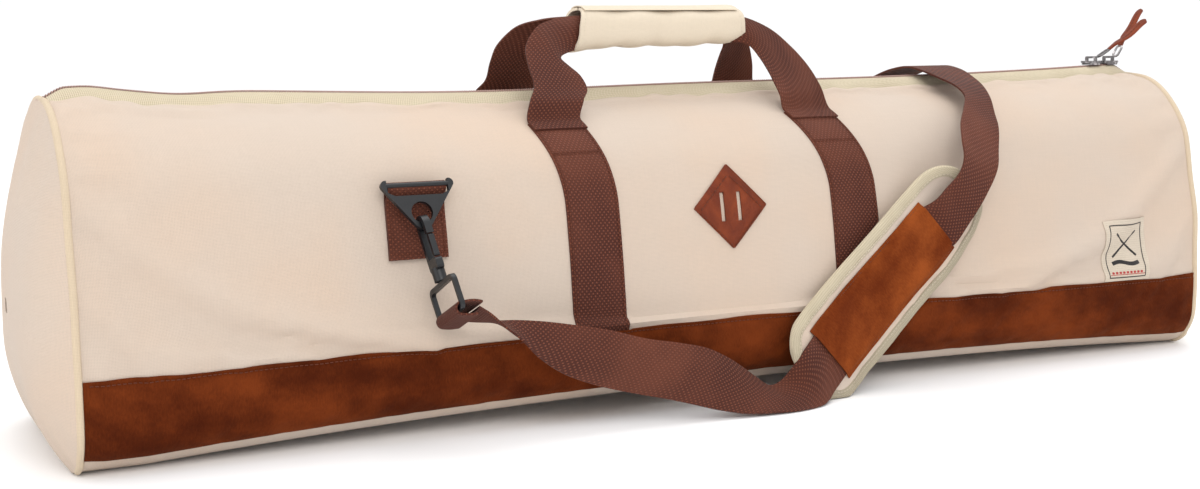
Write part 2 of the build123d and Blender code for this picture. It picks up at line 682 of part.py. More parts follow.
with BuildPart() as shoulder_pad:
    with BuildSketch(pad_plane):
        RectangleRounded(PAD_L, PAD_W, PAD_R)
    extrude(amount=PAD_T)
save(shoulder_pad, "shoulder_pad")

with BuildPart() as pad_patch:
    with BuildSketch(pad_plane.offset(PAD_T + CHANNEL)):
        with Locations((PATCH_MID, 0)):
            RectangleRounded(PATCH_L, PATCH_W, 5)
    extrude(amount=PATCH_T)
    with BuildSketch(pad_plane.offset(PAD_T)):
        with Locations((PATCH_MID, PATCH_W / 2 - 2), (PATCH_MID, 2 - PATCH_W / 2)):
            Rectangle(PATCH_L - 12, 4)
    extrude(amount=CHANNEL + 0.2)
save(pad_patch, "shoulder_pad_patch")

with BuildPart() as strap_in_pad:
    with BuildSketch(pad_plane.offset(PAD_T + 0.4)):
        with Locations((-15, 0)):
            Rectangle(226, WEBBING)
    extrude(amount=STRAP_T)
save(strap_in_pad, "shoulder_strap_in_pad")

# ---------------------------------------------------------------- joint places
for word, x in (("left", LEFT_SLIDER_X), ("right", RIGHT_SLIDER_X)):
    print(word, "pull", pull_plane(x + 8.6, *PULL_AIM[word]))
print("pad slide axis", pad_along)
print("lip hinge", spot(FRONT, HINGE, -2), "handle hinge", spot(FRONT, LEG_TOP, -2.2))
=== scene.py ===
# %% [markdown]
# # A drum hardware bag
# The bag is a long soft box: canvas laminated to foam, sewn to a suede band below and to a
# zip along the ridge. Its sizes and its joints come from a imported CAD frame. Here it gets
# its looks: panels that sag and pucker, webbing that twists, and finishes made of nodes.

# %% Load the frame
from math import asin, cos, pi, radians, sin

import bmesh
import bpy
import numpy as np
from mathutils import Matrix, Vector, noise


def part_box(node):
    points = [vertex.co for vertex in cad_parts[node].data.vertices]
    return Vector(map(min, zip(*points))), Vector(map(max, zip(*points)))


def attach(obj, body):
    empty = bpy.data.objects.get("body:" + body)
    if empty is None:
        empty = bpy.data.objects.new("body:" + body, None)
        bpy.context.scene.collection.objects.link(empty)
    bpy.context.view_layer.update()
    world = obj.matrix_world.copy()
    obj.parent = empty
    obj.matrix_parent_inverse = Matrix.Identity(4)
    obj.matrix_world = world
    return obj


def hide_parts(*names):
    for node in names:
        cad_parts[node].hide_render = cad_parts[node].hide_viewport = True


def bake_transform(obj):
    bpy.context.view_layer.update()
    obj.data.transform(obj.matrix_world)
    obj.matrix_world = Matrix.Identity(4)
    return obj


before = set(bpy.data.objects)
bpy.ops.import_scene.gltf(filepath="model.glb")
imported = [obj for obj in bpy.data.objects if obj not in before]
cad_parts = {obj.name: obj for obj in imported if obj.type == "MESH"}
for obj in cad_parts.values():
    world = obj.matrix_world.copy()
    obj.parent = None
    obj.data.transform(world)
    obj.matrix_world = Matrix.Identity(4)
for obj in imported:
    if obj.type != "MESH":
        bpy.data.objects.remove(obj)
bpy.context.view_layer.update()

# %% [markdown]
# ## Camera
# A long lens at knee height looks along the bag from its left end. It comes before the
# pieces.

# %% Camera
scene = bpy.context.scene
camera = bpy.data.objects.new("camera", bpy.data.cameras.new("camera"))
scene.collection.objects.link(camera)
scene.camera = camera
scene.view_settings.view_transform = "Standard"
CAMERA_TURN, CAMERA_TILT = 26.52, 8.38      # degrees: towards +X, and down
camera.location = (-0.755, -1.374, 0.359)
camera.rotation_euler = (radians(90 - CAMERA_TILT), 0, radians(-CAMERA_TURN))
camera.data.lens = 50.2
camera.data.clip_start = 0.05
print("camera", tuple(camera.location))


# %% [markdown]
# ## Shader maths as sums
# A finish is mostly arithmetic on coordinates. Wrapping a socket in a small class lets the
# arithmetic read as Python: each operator adds one Math node.

# %% Sockets that can be added and multiplied
class Wire:
    """An output socket, with operators that add Math nodes to its tree."""

    def __init__(self, tree, socket):
        self.tree, self.socket = tree, socket

    def node(self, kind, settings=None, output=0, **inputs):
        """Any node: its type, its settings, then the values or wires of its sockets."""
        made = self.tree.nodes.new(kind)
        for key, value in (settings or {}).items():
            setattr(made, key, value)
        for key, value in inputs.items():
            numbered = key[0] == "i" and key[1:].isdigit()       # i0, i1 and so on
            socket = made.inputs[int(key[1:]) if numbered else key.replace("_", " ")]
            if isinstance(value, Wire):
                self.tree.links.new(value.socket, socket)
            else:
                socket.default_value = value
        return Wire(self.tree, made.outputs[output])

    def maths(self, operation, *values):
        inputs = {f"i{index}": value for index, value in enumerate(values)}
        return self.node("ShaderNodeMath", {"operation": operation}, **inputs)

    def __add__(self, other):
        return self.maths("ADD", self, other)

    def __rsub__(self, other):
        return self.maths("SUBTRACT", other, self)

    def __mul__(self, other):
        return self.maths("MULTIPLY", self, other)

    def __pow__(self, other):
        return self.maths("POWER", self, other)

    __radd__, __rmul__ = __add__, __mul__

    def __abs__(self):
        return self.maths("ABSOLUTE", self)

    def __gt__(self, other):
        return self.maths("GREATER_THAN", self, other)

    def sine(self):
        return self.maths("SINE", self)

    def clamp(self):
        return self.node("ShaderNodeClamp", Value=self)

    def between(self, low, high):
        """0 below low, 1 above high, smooth in the middle."""
        return self.node(
            "ShaderNodeMapRange", {"interpolation_type": "SMOOTHSTEP"},
            Value=self, From_Min=low, From_Max=high,
        )

    def mix(self, first, second):
        """A colour between two others, by this value."""
        settings = {"data_type": "RGBA"}
        return self.node("ShaderNodeMix", settings, output=2, i0=self, i6=first, i7=second)


class Finish:
    """A material with one Principled shader, and helpers for what feeds it."""

    def __init__(self, name, colour, roughness, **constants):
        self.material = bpy.data.materials.new(name)
        self.material.use_nodes = True
        self.tree = self.material.node_tree
        self.shader = self.tree.nodes["Principled BSDF"]
        self.set(Base_Color=(*colour, 1.0), Roughness=roughness, **constants)
        self.blank = Wire(self.tree, None)

    def set(self, **inputs):
        for key, value in inputs.items():
            socket = self.shader.inputs[key.replace("_", " ")]
            if isinstance(value, Wire):
                self.tree.links.new(value.socket, socket)
            else:
                socket.default_value = value

    def uv(self):
        """Distance along and across the cloth, in metres."""
        where = self.blank.node("ShaderNodeUVMap", {"uv_map": "cloth"})
        along = self.blank.node("ShaderNodeSeparateXYZ", Vector=where)
        across = Wire(self.tree, along.socket.node.outputs["Y"])
        return where, along, across

    def place(self):
        """The point in the object's own frame."""
        return self.blank.node("ShaderNodeTexCoord", output=3)

    def cloud(self, where, scale, detail=3.0, roughness=0.5):
        return self.blank.node(
            "ShaderNodeTexNoise", Vector=where, Scale=scale, Detail=detail, Roughness=roughness
        )

    def stretched(self, where, factors):
        return self.blank.node(
            "ShaderNodeVectorMath", {"operation": "MULTIPLY"}, i0=where, i1=factors
        )

    def bump(self, height, depth, strength=1.0):
        made = self.blank.node("ShaderNodeBump", Height=height, Distance=depth, Strength=strength)
        self.set(Normal=made)


def weave(finish, pitch):
    """Plain weave: threads pass over and under each other. Returns the height, 0 to 1."""
    _, along, across = finish.uv()
    a = (along * (pi / pitch)).sine()
    b = (across * (pi / pitch)).sine()
    over = (a * b) > 0.0
    return over * abs(a) * (abs(b) ** 0.35) + (1 - over) * abs(b) * (abs(a) ** 0.35)


# %% [markdown]
# ## The finishes
# Canvas is a fine plain weave with slubs. Webbing is the same weave twice as coarse, with
# lit thread tops. Suede has no weave: brushed nap darkens and lightens in patches.
# Each is written once and given its colours by the piece that wears it.

# %% Woven finishes
def canvas(name, colour, warm):
    finish = Finish(name, colour, 0.85, Sheen_Weight=0.08, Specular_IOR_Level=0.25)
    where = finish.uv()[0]
    threads = weave(finish, 0.0011)
    patches = finish.cloud(where, 6.0).between(0.35, 0.7)
    slubs = finish.cloud(finish.stretched(where, (40, 900, 1)), 1.0, 1.0)
    slubs = slubs + finish.cloud(finish.stretched(where, (900, 40, 1)), 1.0, 1.0)
    base = patches.mix((*colour, 1), (*warm, 1))
    shade = (threads * 0.16 + slubs * 0.045).clamp()
    dark = tuple(0.78 * c for c in colour)
    finish.set(Base_Color=shade.between(0.02, 0.28).mix(base, (*dark, 1)))
    finish.bump(threads * 0.7 + slubs * 0.25, 0.00025)
    return finish.material


def webbing(name, low, high):
    finish = Finish(name, low, 0.7, Sheen_Weight=0.04, Specular_IOR_Level=0.22)
    where, along, across = finish.uv()
    rows = (along * (pi / 0.0023)).sine()
    ends = (across * (pi / 0.0020)).sine()
    over = (rows * ends) > 0.0
    knots = (over * 0.75 + 0.25) * (abs(rows) ** 0.8) * (abs(ends) ** 0.8)
    fuzz = finish.cloud(where, 1400.0, 2.0)
    tone = finish.cloud(where, 9.0)
    light = (knots * (0.65 + fuzz * 0.5)).clamp()
    mid = tuple(0.5 * (a + b) for a, b in zip(low, high))
    base = tone.between(0.35, 0.7).mix((*low, 1), (*mid, 1))
    finish.set(Base_Color=light.between(0.15, 0.95).mix(base, (*high, 1)))
    finish.bump(knots + fuzz * 0.2, 0.0007)
    return finish.material


def grosgrain(name, low, high, pitch=0.0016):
    finish = Finish(name, low, 0.8, Sheen_Weight=0.05, Specular_IOR_Level=0.25)
    where, along, across = finish.uv()
    ribs = abs((along * (pi / pitch)).sine())
    cross = abs((across * (pi / 0.0022)).sine())
    tone = finish.cloud(where, 30.0)
    height = ribs * 0.8 + cross * 0.4
    light = height * 0.7 + tone * 0.3
    finish.set(Base_Color=light.between(0.2, 0.95).mix((*low, 1), (*high, 1)))
    finish.bump(height, 0.0004)
    return finish.material


def suede(name, deep, lit):
    finish = Finish(name, deep, 0.95, Specular_IOR_Level=0.08)
    finish.set(Sheen_Weight=0.10, Sheen_Roughness=0.4, Sheen_Tint=(0.9, 0.45, 0.22, 1))
    where = finish.uv()[0]
    brushed = finish.cloud(finish.stretched(where, (9, 15, 1)), 1.0, 4.0, 0.5)
    small = finish.cloud(where, 55.0, 3.0)
    nap = finish.cloud(finish.stretched(where, (700, 260, 1)), 1.0, 3.0)
    tone = (brushed.between(0.25, 0.75) * 0.45 + small * 0.32 + nap * 0.25).clamp()
    finish.set(Base_Color=tone.between(0.25, 0.85).mix((*deep, 1), (*lit, 1)))
    finish.bump(nap + small * 0.3, 0.0005)
    return finish.material


def leather(name, deep, lit, grain=900.0):
    finish = Finish(name, deep, 0.55, Specular_IOR_Level=0.25)
    where = finish.uv()[0]
    pores = finish.blank.node(
        "ShaderNodeTexVoronoi", {"feature": "DISTANCE_TO_EDGE"}, Vector=where, Scale=grain
    )
    tone = finish.cloud(where, 45.0, 4.0)
    finish.set(Base_Color=tone.between(0.3, 0.75).mix((*deep, 1), (*lit, 1)))
    finish.set(Roughness=0.42 + tone * 0.25)
    finish.bump(pores.between(0.0, 0.2), 0.00025)
    return finish.material


# %% Hard finishes
def moulded(name, colour, roughness):
    finish = Finish(name, colour, roughness, Specular_IOR_Level=0.45)
    where = finish.place()
    orange_peel = finish.cloud(where, 900.0, 2.0)
    scuffs = finish.cloud(where, 120.0, 4.0)
    finish.set(Roughness=scuffs * 0.3 + (roughness - 0.12))
    finish.bump(orange_peel, 0.00006)
    return finish.material


def plated(name, colour):
    finish = Finish(name, colour, 0.28, Metallic=1.0)
    where = finish.place()
    wear = finish.cloud(where, 260.0, 4.0)
    bright = tuple(min(1.0, 3.2 * c) for c in colour)
    finish.set(Base_Color=wear.between(0.45, 0.75).mix((*colour, 1), (*bright, 1)))
    finish.set(Roughness=0.18 + wear * 0.25)
    finish.bump(wear, 0.00004)
    return finish.material


CREAM, PEACH = (0.590, 0.490, 0.408), (0.625, 0.478, 0.368)
materials = {
    "canvas": canvas("canvas", CREAM, PEACH),
    "grip": canvas("grip_canvas", (0.70, 0.60, 0.47), (0.73, 0.62, 0.47)),
    "piping": canvas("piping_cloth", (0.62, 0.50, 0.36), (0.65, 0.52, 0.37)),
    "lining": canvas("lining_cloth", (0.035, 0.032, 0.03), (0.05, 0.045, 0.04)),
    "webbing": webbing("webbing", (0.052, 0.0105, 0.0048), (0.180, 0.052, 0.026)),
    "grosgrain": grosgrain("grosgrain", (0.36, 0.30, 0.20), (0.60, 0.52, 0.38)),
    "label": grosgrain("label_cloth", (0.52, 0.44, 0.35), (0.66, 0.57, 0.46), 0.0009),
    "suede": suede("suede", (0.100, 0.016, 0.0025), (0.27, 0.062, 0.012)),
    "suede_band": suede("suede_band", (0.050, 0.0075, 0.0012), (0.165, 0.032, 0.006)),
    "leather": leather("leather", (0.140, 0.020, 0.0035), (0.235, 0.042, 0.009)),
    "plastic": moulded("black_plastic", (0.004, 0.0045, 0.006), 0.36),
    "nickel": plated("dark_nickel", (0.16, 0.15, 0.15)),
    "coil": moulded("zip_coil", (0.36, 0.22, 0.18), 0.4),
    "board": moulded("board", (0.03, 0.03, 0.03), 0.7),
    "thread_brown": leather("brown_thread", (0.10, 0.024, 0.010), (0.16, 0.04, 0.018)),
    "thread_pale": leather("pale_thread", (0.62, 0.54, 0.42), (0.72, 0.63, 0.50)),
    "thread_black": leather("black_thread", (0.02, 0.018, 0.018), (0.05, 0.045, 0.045)),
    "thread_red": leather("red_thread", (0.42, 0.04, 0.04), (0.50, 0.06, 0.05)),
}
print(len(materials), "finishes")


# %% [markdown]
# ## The section of the bag
# Going up one side, the outline is three tangent arcs: a small one at the lower edge, a
# nearly flat one up the side and the round shoulder below the zip. A place on the skin is
# its distance x along the bag and its distance s up the cloth from the lower seam.

# %% Arcs of the section
MM = 0.001
HALF_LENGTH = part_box("front_panel")[1].x           # to the seam of the piped end
HALF_WIDTH = 0.120                                 # at the widest, near the floor
CORNER_R, SIDE_R, CROWN_R = 0.040, 0.677, 0.088
SIDE_LEAN = radians(15)
SEAM_Z, BAND_Z = 0.014, 0.077                      # lower seam, top of the suede band
SIDE_Y = HALF_WIDTH - SIDE_R
CROWN_Y = SIDE_Y + (SIDE_R - CROWN_R) * cos(SIDE_LEAN)
CROWN_Z = CORNER_R + (SIDE_R - CROWN_R) * sin(SIDE_LEAN)
FRONT, BACK = -1, 1
SIDES = {"front": FRONT, "back": BACK}

seam_angle = asin((SEAM_Z - CORNER_R) / CORNER_R)
arc_low = -seam_angle * CORNER_R
arc_side = SIDE_LEAN * SIDE_R
arc_crown = (pi / 2 - SIDE_LEAN) * CROWN_R
SKIN = arc_low + arc_side + arc_crown              # cloth from the lower seam to the ridge
TOP_TRIM = 0.0045                                  # the panel stops short of the ridge
print("cloth up each side", round(SKIN, 4))


def outline(s):
    """(distance from the middle plane, height, angle of the outward normal) at s."""
    s = np.asarray(s, float)
    low = seam_angle + s / CORNER_R
    side = (s - arc_low) / SIDE_R
    crown = SIDE_LEAN + (s - arc_low - arc_side) / CROWN_R

    def pick(at_corner, on_side, on_crown):
        return np.where(s < arc_low, at_corner, np.where(s < arc_low + arc_side, on_side, on_crown))

    angle, radius = pick(low, side, crown), pick(CORNER_R, SIDE_R, CROWN_R)
    cy, cz = pick(HALF_WIDTH - CORNER_R, SIDE_Y, CROWN_Y), pick(CORNER_R, CORNER_R, CROWN_Z)
    return cy + radius * np.cos(angle), cz + radius * np.sin(angle), angle


def climb(height):
    """The s at a height above the floor."""
    table = np.linspace(0, SKIN, 800)
    return float(np.interp(height, outline(table)[1], table))


# %% [markdown]
# ## How the cloth sags
# Pattern pieces are cut straight, yet a standing bag is not straight. The ridge hangs
# between its two ends, the belly lifts off the floor, the sides swell, and the folded top
# seam ripples where the thread gathers it. These are sums of soft waves and fractal noise;
# the simulation further down then adds what only weight and stiffness give.

# %% Soft departures from the plain section
def soft_step(value, low, high):
    t = np.clip((value - low) / (high - low), 0, 1)
    return t * t * (3 - 2 * t)


def hill(value, centre, width):
    return np.exp(-(((value - centre) / width) ** 2))


def rumple(x, s, seed, scale):
    """Fractal noise over the cloth, about -1 to 1."""
    x, s = np.broadcast_arrays(x, s)
    flat = [
        noise.fractal(Vector((a * scale[0], b * scale[1], seed)), 1.0, 2.0, 3)
        for a, b in zip(np.ravel(x), np.ravel(s))
    ]
    return np.array(flat).reshape(np.shape(x))


def ridge_sag(x):
    ends = np.clip(np.abs(x) / HALF_LENGTH, 0, 1)
    span = 0.0085 * (1 - ends**3) + 0.0035 * hill(x, -0.20, 0.16)
    return span + 0.003 * hill(x, -0.455, 0.035) - 0.002 * hill(x, -0.525, 0.02)


def belly_lift(x):
    return 0.0135 * (1 - np.clip(np.abs(x - 0.02) / 0.53, 0, 1) ** 2.4)


def skin_plain(side, x, s):
    """The outside of a panel before the simulation, as (n, m, 3) points."""
    y, z, angle = outline(s)
    share = s / SKIN
    seed = 3.0 if side == FRONT else 11.0
    out = 0.0022 * np.sin(pi * np.clip(share * 1.1, 0, 1))
    out = out + 0.0016 * rumple(x, s, seed, (5.0, 7.0)) * np.sin(pi * share)
    inward = hill(np.abs(x), HALF_LENGTH, 0.010)
    out = out - 0.0018 * inward
    ends = hill(np.abs(x), HALF_LENGTH, 0.075)
    slant = np.sin((s * 0.8 + np.abs(x) * 1.1) * 95.0 + seed)
    out = out + 0.0011 * ends * slant * np.sin(pi * np.clip(share * 1.2 - 0.15, 0, 1))
    y = y + out * np.cos(angle)
    z = z + out * np.sin(angle)
    crown = soft_step(s, arc_low + arc_side * 0.75, SKIN)
    z = z - ridge_sag(x) * crown
    near_top = soft_step(s, SKIN - 0.030, SKIN - TOP_TRIM)
    ripple = 0.0011 * np.sin(x * 150.0 + 2.0 * np.sin(x * 37.0)) + 0.0010 * np.sin(x * 61.0 + seed)
    z = z + ripple * near_top
    y = y + (0.0016 * np.sin(x * 83.0 + 1.3 * seed) + 0.0012 * np.sin(x * 47.0)) * near_top
    z = z + belly_lift(x) * (1 - soft_step(s, 0.0, 0.085))
    return np.stack([x + 0 * y, side * y, z], axis=-1)


def unit(v):
    return v / np.maximum(np.linalg.norm(v, axis=-1, keepdims=True), 1e-12)


def grid_normals(points):
    """Outward normals of a grid whose rows run along x and columns up s."""
    along = np.gradient(points, axis=0)
    up = np.gradient(points, axis=1)
    return unit(np.cross(along, up))


# %% [markdown]
# ## Meshes from grids
# Most pieces are cloth, and cloth is a grid of rows and columns with a thickness. One
# function turns a grid of outside points and a grid of inside points into a closed slab,
# and stores the true distances along the cloth as its UV map, so a weave keeps its scale.

# %% Slabs, tubes and small parts
def lengths(points, axis):
    steps = np.linalg.norm(np.diff(points, axis=axis), axis=-1)
    start = np.zeros_like(np.take(steps, [0], axis=axis))
    return np.concatenate([start, np.cumsum(steps, axis=axis)], axis=axis)


def make_object(name, verts, faces, cloth_uv, material, sharp=40.0):
    mesh = bpy.data.meshes.new(name)
    mesh.from_pydata([tuple(v) for v in verts], [], [tuple(f) for f in faces])
    layer = mesh.uv_layers.new(name="cloth")
    corner = np.zeros(len(mesh.loops), dtype=np.int32)
    mesh.loops.foreach_get("vertex_index", corner)
    layer.data.foreach_set("uv", np.asarray(cloth_uv, np.float32)[corner].ravel())
    mesh.materials.append(materials[material])
    mesh.polygons.foreach_set("use_smooth", [True] * len(mesh.polygons))
    mesh.set_sharp_from_angle(angle=radians(sharp))
    made = bpy.data.objects.new(name, mesh)
    scene.collection.objects.link(made)
    return made


def grid_faces(rows, columns, offset=0, flip=False, wrap=False):
    i, j = np.meshgrid(np.arange(rows - 1 + wrap), np.arange(columns - 1), indexing="ij")
    a = offset + i * columns + j
    b = offset + ((i + 1) % rows) * columns + j
    quads = np.stack([a, b, b + 1, a + 1], axis=-1).reshape(-1, 4)
    return quads[:, ::-1] if flip else quads


def slab(name, outside, inside, material, cloth_uv=None, sharp=40.0):
    """A closed sheet with a thickness, from two grids of points."""
    rows, columns = outside.shape[:2]
    if cloth_uv is None:
        cloth_uv = np.stack([lengths(outside, 0), lengths(outside, 1)], axis=-1)
    count = rows * columns
    faces = [grid_faces(rows, columns), grid_faces(rows, columns, count, flip=True)]
    edge = [r * columns for r in range(rows)]
    edge += [(rows - 1) * columns + c for c in range(1, columns)]
    edge += [r * columns + columns - 1 for r in range(rows - 2, -1, -1)]
    edge += [c for c in range(columns - 2, 0, -1)]
    rim = [(a, a + count, b + count, b) for a, b in zip(edge, edge[1:] + edge[:1])]
    faces.append(np.array(rim)[:, ::-1])
    verts = np.concatenate([outside.reshape(-1, 3), inside.reshape(-1, 3)])
    uv = np.concatenate([cloth_uv.reshape(-1, 2)] * 2)
    return make_object(name, verts, np.concatenate(faces), uv, material, sharp)


def frames(path, closed=False):
    """Directions across a path, turning as little as possible."""
    path = np.asarray(path, float)
    around = np.roll(path, -1, axis=0) - np.roll(path, 1, axis=0)
    tangent = unit(around if closed else np.gradient(path, axis=0))
    side = np.cross(tangent[0], (0.31, 0.17, 0.93))
    sides = []
    for t in tangent:
        side = side - t * np.dot(side, t)
        side = side / np.linalg.norm(side)
        sides.append(side)
    sides = np.array(sides)
    return tangent, sides, np.cross(tangent, sides)


def end_caps(rows, columns):
    """The two faces that close a grid wrapped into a tube."""
    last = (rows - 1) * columns
    return [list(range(columns - 1)), [last + k for k in range(columns - 2, -1, -1)]]


def tube(name, path, radius, material, around=10, closed=False):
    """A round tube along a path, capped if it is open."""
    path = np.asarray(path, float)
    _, a, b = frames(path, closed)
    radius = np.broadcast_to(radius, (len(path),))[:, None, None]
    turn = np.linspace(0, 2 * pi, around + 1)
    ring = a[:, None] * np.cos(turn)[None, :, None] + b[:, None] * np.sin(turn)[None, :, None]
    points = path[:, None] + ring * radius
    rows, columns = points.shape[:2]
    reach = lengths(path[:, None], 0)[:, 0]
    girth = turn * float(np.mean(radius))
    uv = np.stack(np.broadcast_arrays(reach[:, None], girth[None]), axis=-1)
    faces = grid_faces(rows, columns, flip=True, wrap=closed).tolist()
    if not closed:
        faces += end_caps(rows, columns)
    made = make_object(name, points.reshape(-1, 3), faces, uv.reshape(-1, 2), material)
    weld(made)
    return made


def weld(piece, distance=1e-6):
    """Joins the vertices that meet where a grid closes on itself."""
    mesh = bmesh.new()
    mesh.from_mesh(piece.data)
    bmesh.ops.remove_doubles(mesh, verts=mesh.verts, dist=distance)
    mesh.to_mesh(piece.data)
    mesh.free()


STITCH_R = 0.00042
CAPSULE_SHARES = ((-0.5, 0.25), (-0.38, 0.85), (0.38, 0.85), (0.5, 0.25))


def stitches(name, lines, material, pitch=0.0040, gap=0.25, radius=STITCH_R, sink=0.35):
    """Rows of short threads. Each line is (points, normals); threads lie half sunk."""
    verts, faces, uv = [], [], []
    for points, normals in lines:
        points, normals = np.asarray(points, float), np.asarray(normals, float)
        reach = lengths(points[:, None], 0)[:, 0]
        count = max(1, int(reach[-1] / pitch))
        for k in range(count):
            ends = np.array([k + gap / 2, k + 1 - gap / 2]) * reach[-1] / count
            p = np.array([[np.interp(e, reach, points[:, c]) for c in range(3)] for e in ends])
            up = np.array([np.interp(ends.mean(), reach, normals[:, c]) for c in range(3)])
            along = p[1] - p[0]
            length = np.linalg.norm(along)
            along, up = along / length, up / np.linalg.norm(up)
            across = np.cross(up, along)
            middle = p.mean(axis=0) + up * radius * (1 - 2 * sink)
            start = len(verts)
            for share, size in CAPSULE_SHARES:
                for a in np.arange(6) * pi / 3:
                    offset = (across * cos(a) * 1.25 + up * sin(a)) * radius * size
                    verts.append(middle + along * share * length + offset)
                    uv.append((share * length, a * radius))
            for ring in range(3):
                for turn in range(6):
                    a, b = start + ring * 6 + turn, start + ring * 6 + (turn + 1) % 6
                    faces.append((a, b, b + 6, a + 6))
            faces.append(tuple(start + t for t in range(5, -1, -1)))
            faces.append(tuple(start + 18 + t for t in range(6)))
    return make_object(name, verts, faces, uv, material, 80.0)


def spline(stations, count):
    """A smooth path through stations, whose first three columns are a place."""
    points = np.asarray(stations, float)
    reach = lengths(points[:, None, :3], 0)[:, 0]
    slopes = np.gradient(points, reach, axis=0)
    fine = np.linspace(0, reach[-1], count)
    index = np.clip(np.searchsorted(reach, fine, side="right") - 1, 0, len(reach) - 2)
    width = (reach[index + 1] - reach[index])[:, None]
    t = ((fine - reach[index]) / width[:, 0])[:, None]
    p0, p1 = points[index], points[index + 1]
    m0, m1 = slopes[index] * width, slopes[index + 1] * width
    return (
        p0 * (2 * t**3 - 3 * t**2 + 1) + m0 * (t**3 - 2 * t**2 + t)
        + p1 * (3 * t**2 - 2 * t**3) + m1 * (t**3 - t**2)
    )


def ribbon(name, edges, thickness, material, across=9, hollow=0.0, rows=None):
    """A band of webbing between two edges: stations of (x, y, z) left then (x, y, z) right."""
    edges = np.asarray(edges, float)
    rows = rows or 14 * len(edges)
    middle = (edges[:, :3] + edges[:, 3:]) / 2
    path = spline(np.concatenate([middle, edges], axis=1), rows)
    left, right = path[:, 3:6], path[:, 6:9]
    share = np.linspace(0, 1, across)[None, :, None]
    core = left[:, None] * (1 - share) + right[:, None] * share
    normal = grid_normals(core)
    bow = np.broadcast_to(hollow, (rows,))[:, None, None] * (4 * share * (1 - share) - 0.66)
    core = core + normal * bow
    normal = grid_normals(core)
    return slab(name, core + normal * thickness / 2, core - normal * thickness / 2, material)


# %% [markdown]
# ## Settling the cloth
# Laminated canvas is stiff, so it holds broad swells and short puckers, not fine creases.
# Each panel is simulated as cloth held at its seams, cut slightly too large and pushed
# from inside by foam. The result is capped, smoothed onto a finer grid and kept as the
# surface that every band, strap and patch is then laid on.

# %% Cloth simulation on a grid
def settle(name, points, pinned, pressure, spare, cap, steps=18):
    """Simulates a grid of cloth and returns its new points."""
    rows, columns = points.shape[:2]
    mesh = bpy.data.meshes.new(name)
    mesh.from_pydata(points.reshape(-1, 3).tolist(), [], grid_faces(rows, columns).tolist())
    piece = bpy.data.objects.new(name, mesh)
    scene.collection.objects.link(piece)
    group = piece.vertex_groups.new(name="seams")
    weight = pinned.reshape(-1)
    for index in np.nonzero(weight > 0)[0]:
        group.add([int(index)], float(weight[index]), "REPLACE")
    cloth = piece.modifiers.new("cloth", "CLOTH")
    cloth.settings.vertex_group_mass = "seams"
    cloth.settings.quality = 6
    cloth.settings.mass = 0.35
    cloth.settings.tension_stiffness = 25
    cloth.settings.compression_stiffness = 25
    cloth.settings.shear_stiffness = 12
    cloth.settings.bending_stiffness = 1.2
    cloth.settings.shrink_min = -spare
    cloth.settings.use_pressure = pressure != 0
    cloth.settings.uniform_pressure_force = pressure
    cloth.settings.effector_weights.gravity = 0.35
    cloth.collision_settings.use_collision = False
    cloth.point_cache.frame_start, cloth.point_cache.frame_end = 1, steps
    for step in range(1, steps + 1):
        scene.frame_set(step)
    shaped = piece.evaluated_get(bpy.context.evaluated_depsgraph_get())
    moved = np.empty(rows * columns * 3)
    shaped.data.vertices.foreach_get("co", moved)
    bpy.data.objects.remove(piece)
    scene.frame_set(1)
    shift = moved.reshape(points.shape) - points
    reach = np.linalg.norm(shift, axis=-1, keepdims=True)
    shift = shift / np.maximum(reach, 1e-9) * cap * np.tanh(reach / cap)
    print(name, "moved at most", round(float(reach.max()) * 1000, 1), "mm")
    return points + shift


def refine(points, axis):
    """Twice as many steps along one axis, on a cubic curve through the old points."""
    p = np.moveaxis(points, axis, 0)
    before = np.concatenate([2 * p[:1] - p[1:2], p[:-1]])
    after = np.concatenate([p[1:], 2 * p[-1:] - p[-2:-1]])
    after2 = np.concatenate([after[1:], 2 * after[-1:] - after[-2:-1]])
    middle = (9 * (p + after) - before - after2) / 16
    out = np.empty((2 * len(p) - 1, *p.shape[1:]))
    out[0::2], out[1::2] = p, middle[:-1]
    return np.moveaxis(out, 0, axis)


COARSE_X, COARSE_S = 141, 41


class Skin:
    """The settled outside of one side: points and outward normals at any (x, s)."""

    def __init__(self, word):
        self.side = SIDES[word]
        self.top = SKIN - TOP_TRIM
        x = np.linspace(-HALF_LENGTH, HALF_LENGTH, COARSE_X)[:, None]
        s = np.linspace(0, self.top, COARSE_S)[None, :]
        grid = skin_plain(self.side, x, s)
        pinned = np.zeros(grid.shape[:2])
        pinned[[0, -1]] = 1.0
        pinned[:, [0, -1]] = 1.0
        band = s[0] < climb(BAND_Z)
        pinned[:, band] = np.maximum(pinned[:, band], 0.35)
        grid = settle(f"{word}_panel_cloth", grid, pinned, -0.25 * self.side, 0.006, 0.006)
        self.points = refine(refine(grid, 0), 1)
        normals = grid_normals(self.points)
        self.normals = normals if self.side == FRONT else -normals

    def spot(self, x, s, lift=0.0):
        """Points on the skin, lifted along its normal."""
        rows, columns = self.points.shape[:2]
        i = np.clip((np.asarray(x) + HALF_LENGTH) / (2 * HALF_LENGTH), 0, 1) * (rows - 1)
        j = np.clip(np.asarray(s) / self.top, 0, 1) * (columns - 1)
        i, j = np.broadcast_arrays(i, j)
        i0, j0 = np.minimum(i.astype(int), rows - 2), np.minimum(j.astype(int), columns - 2)
        a, b = (i - i0)[..., None], (j - j0)[..., None]

        def read(grid):
            low = grid[i0, j0] * (1 - a) + grid[i0 + 1, j0] * a
            return low * (1 - b) + (grid[i0, j0 + 1] * (1 - a) + grid[i0 + 1, j0 + 1] * a) * b

        self.last_normal = unit(read(self.normals))
        return read(self.points) + self.last_normal * np.asarray(lift)[..., None]


skins = {word: Skin(word) for word in SIDES}
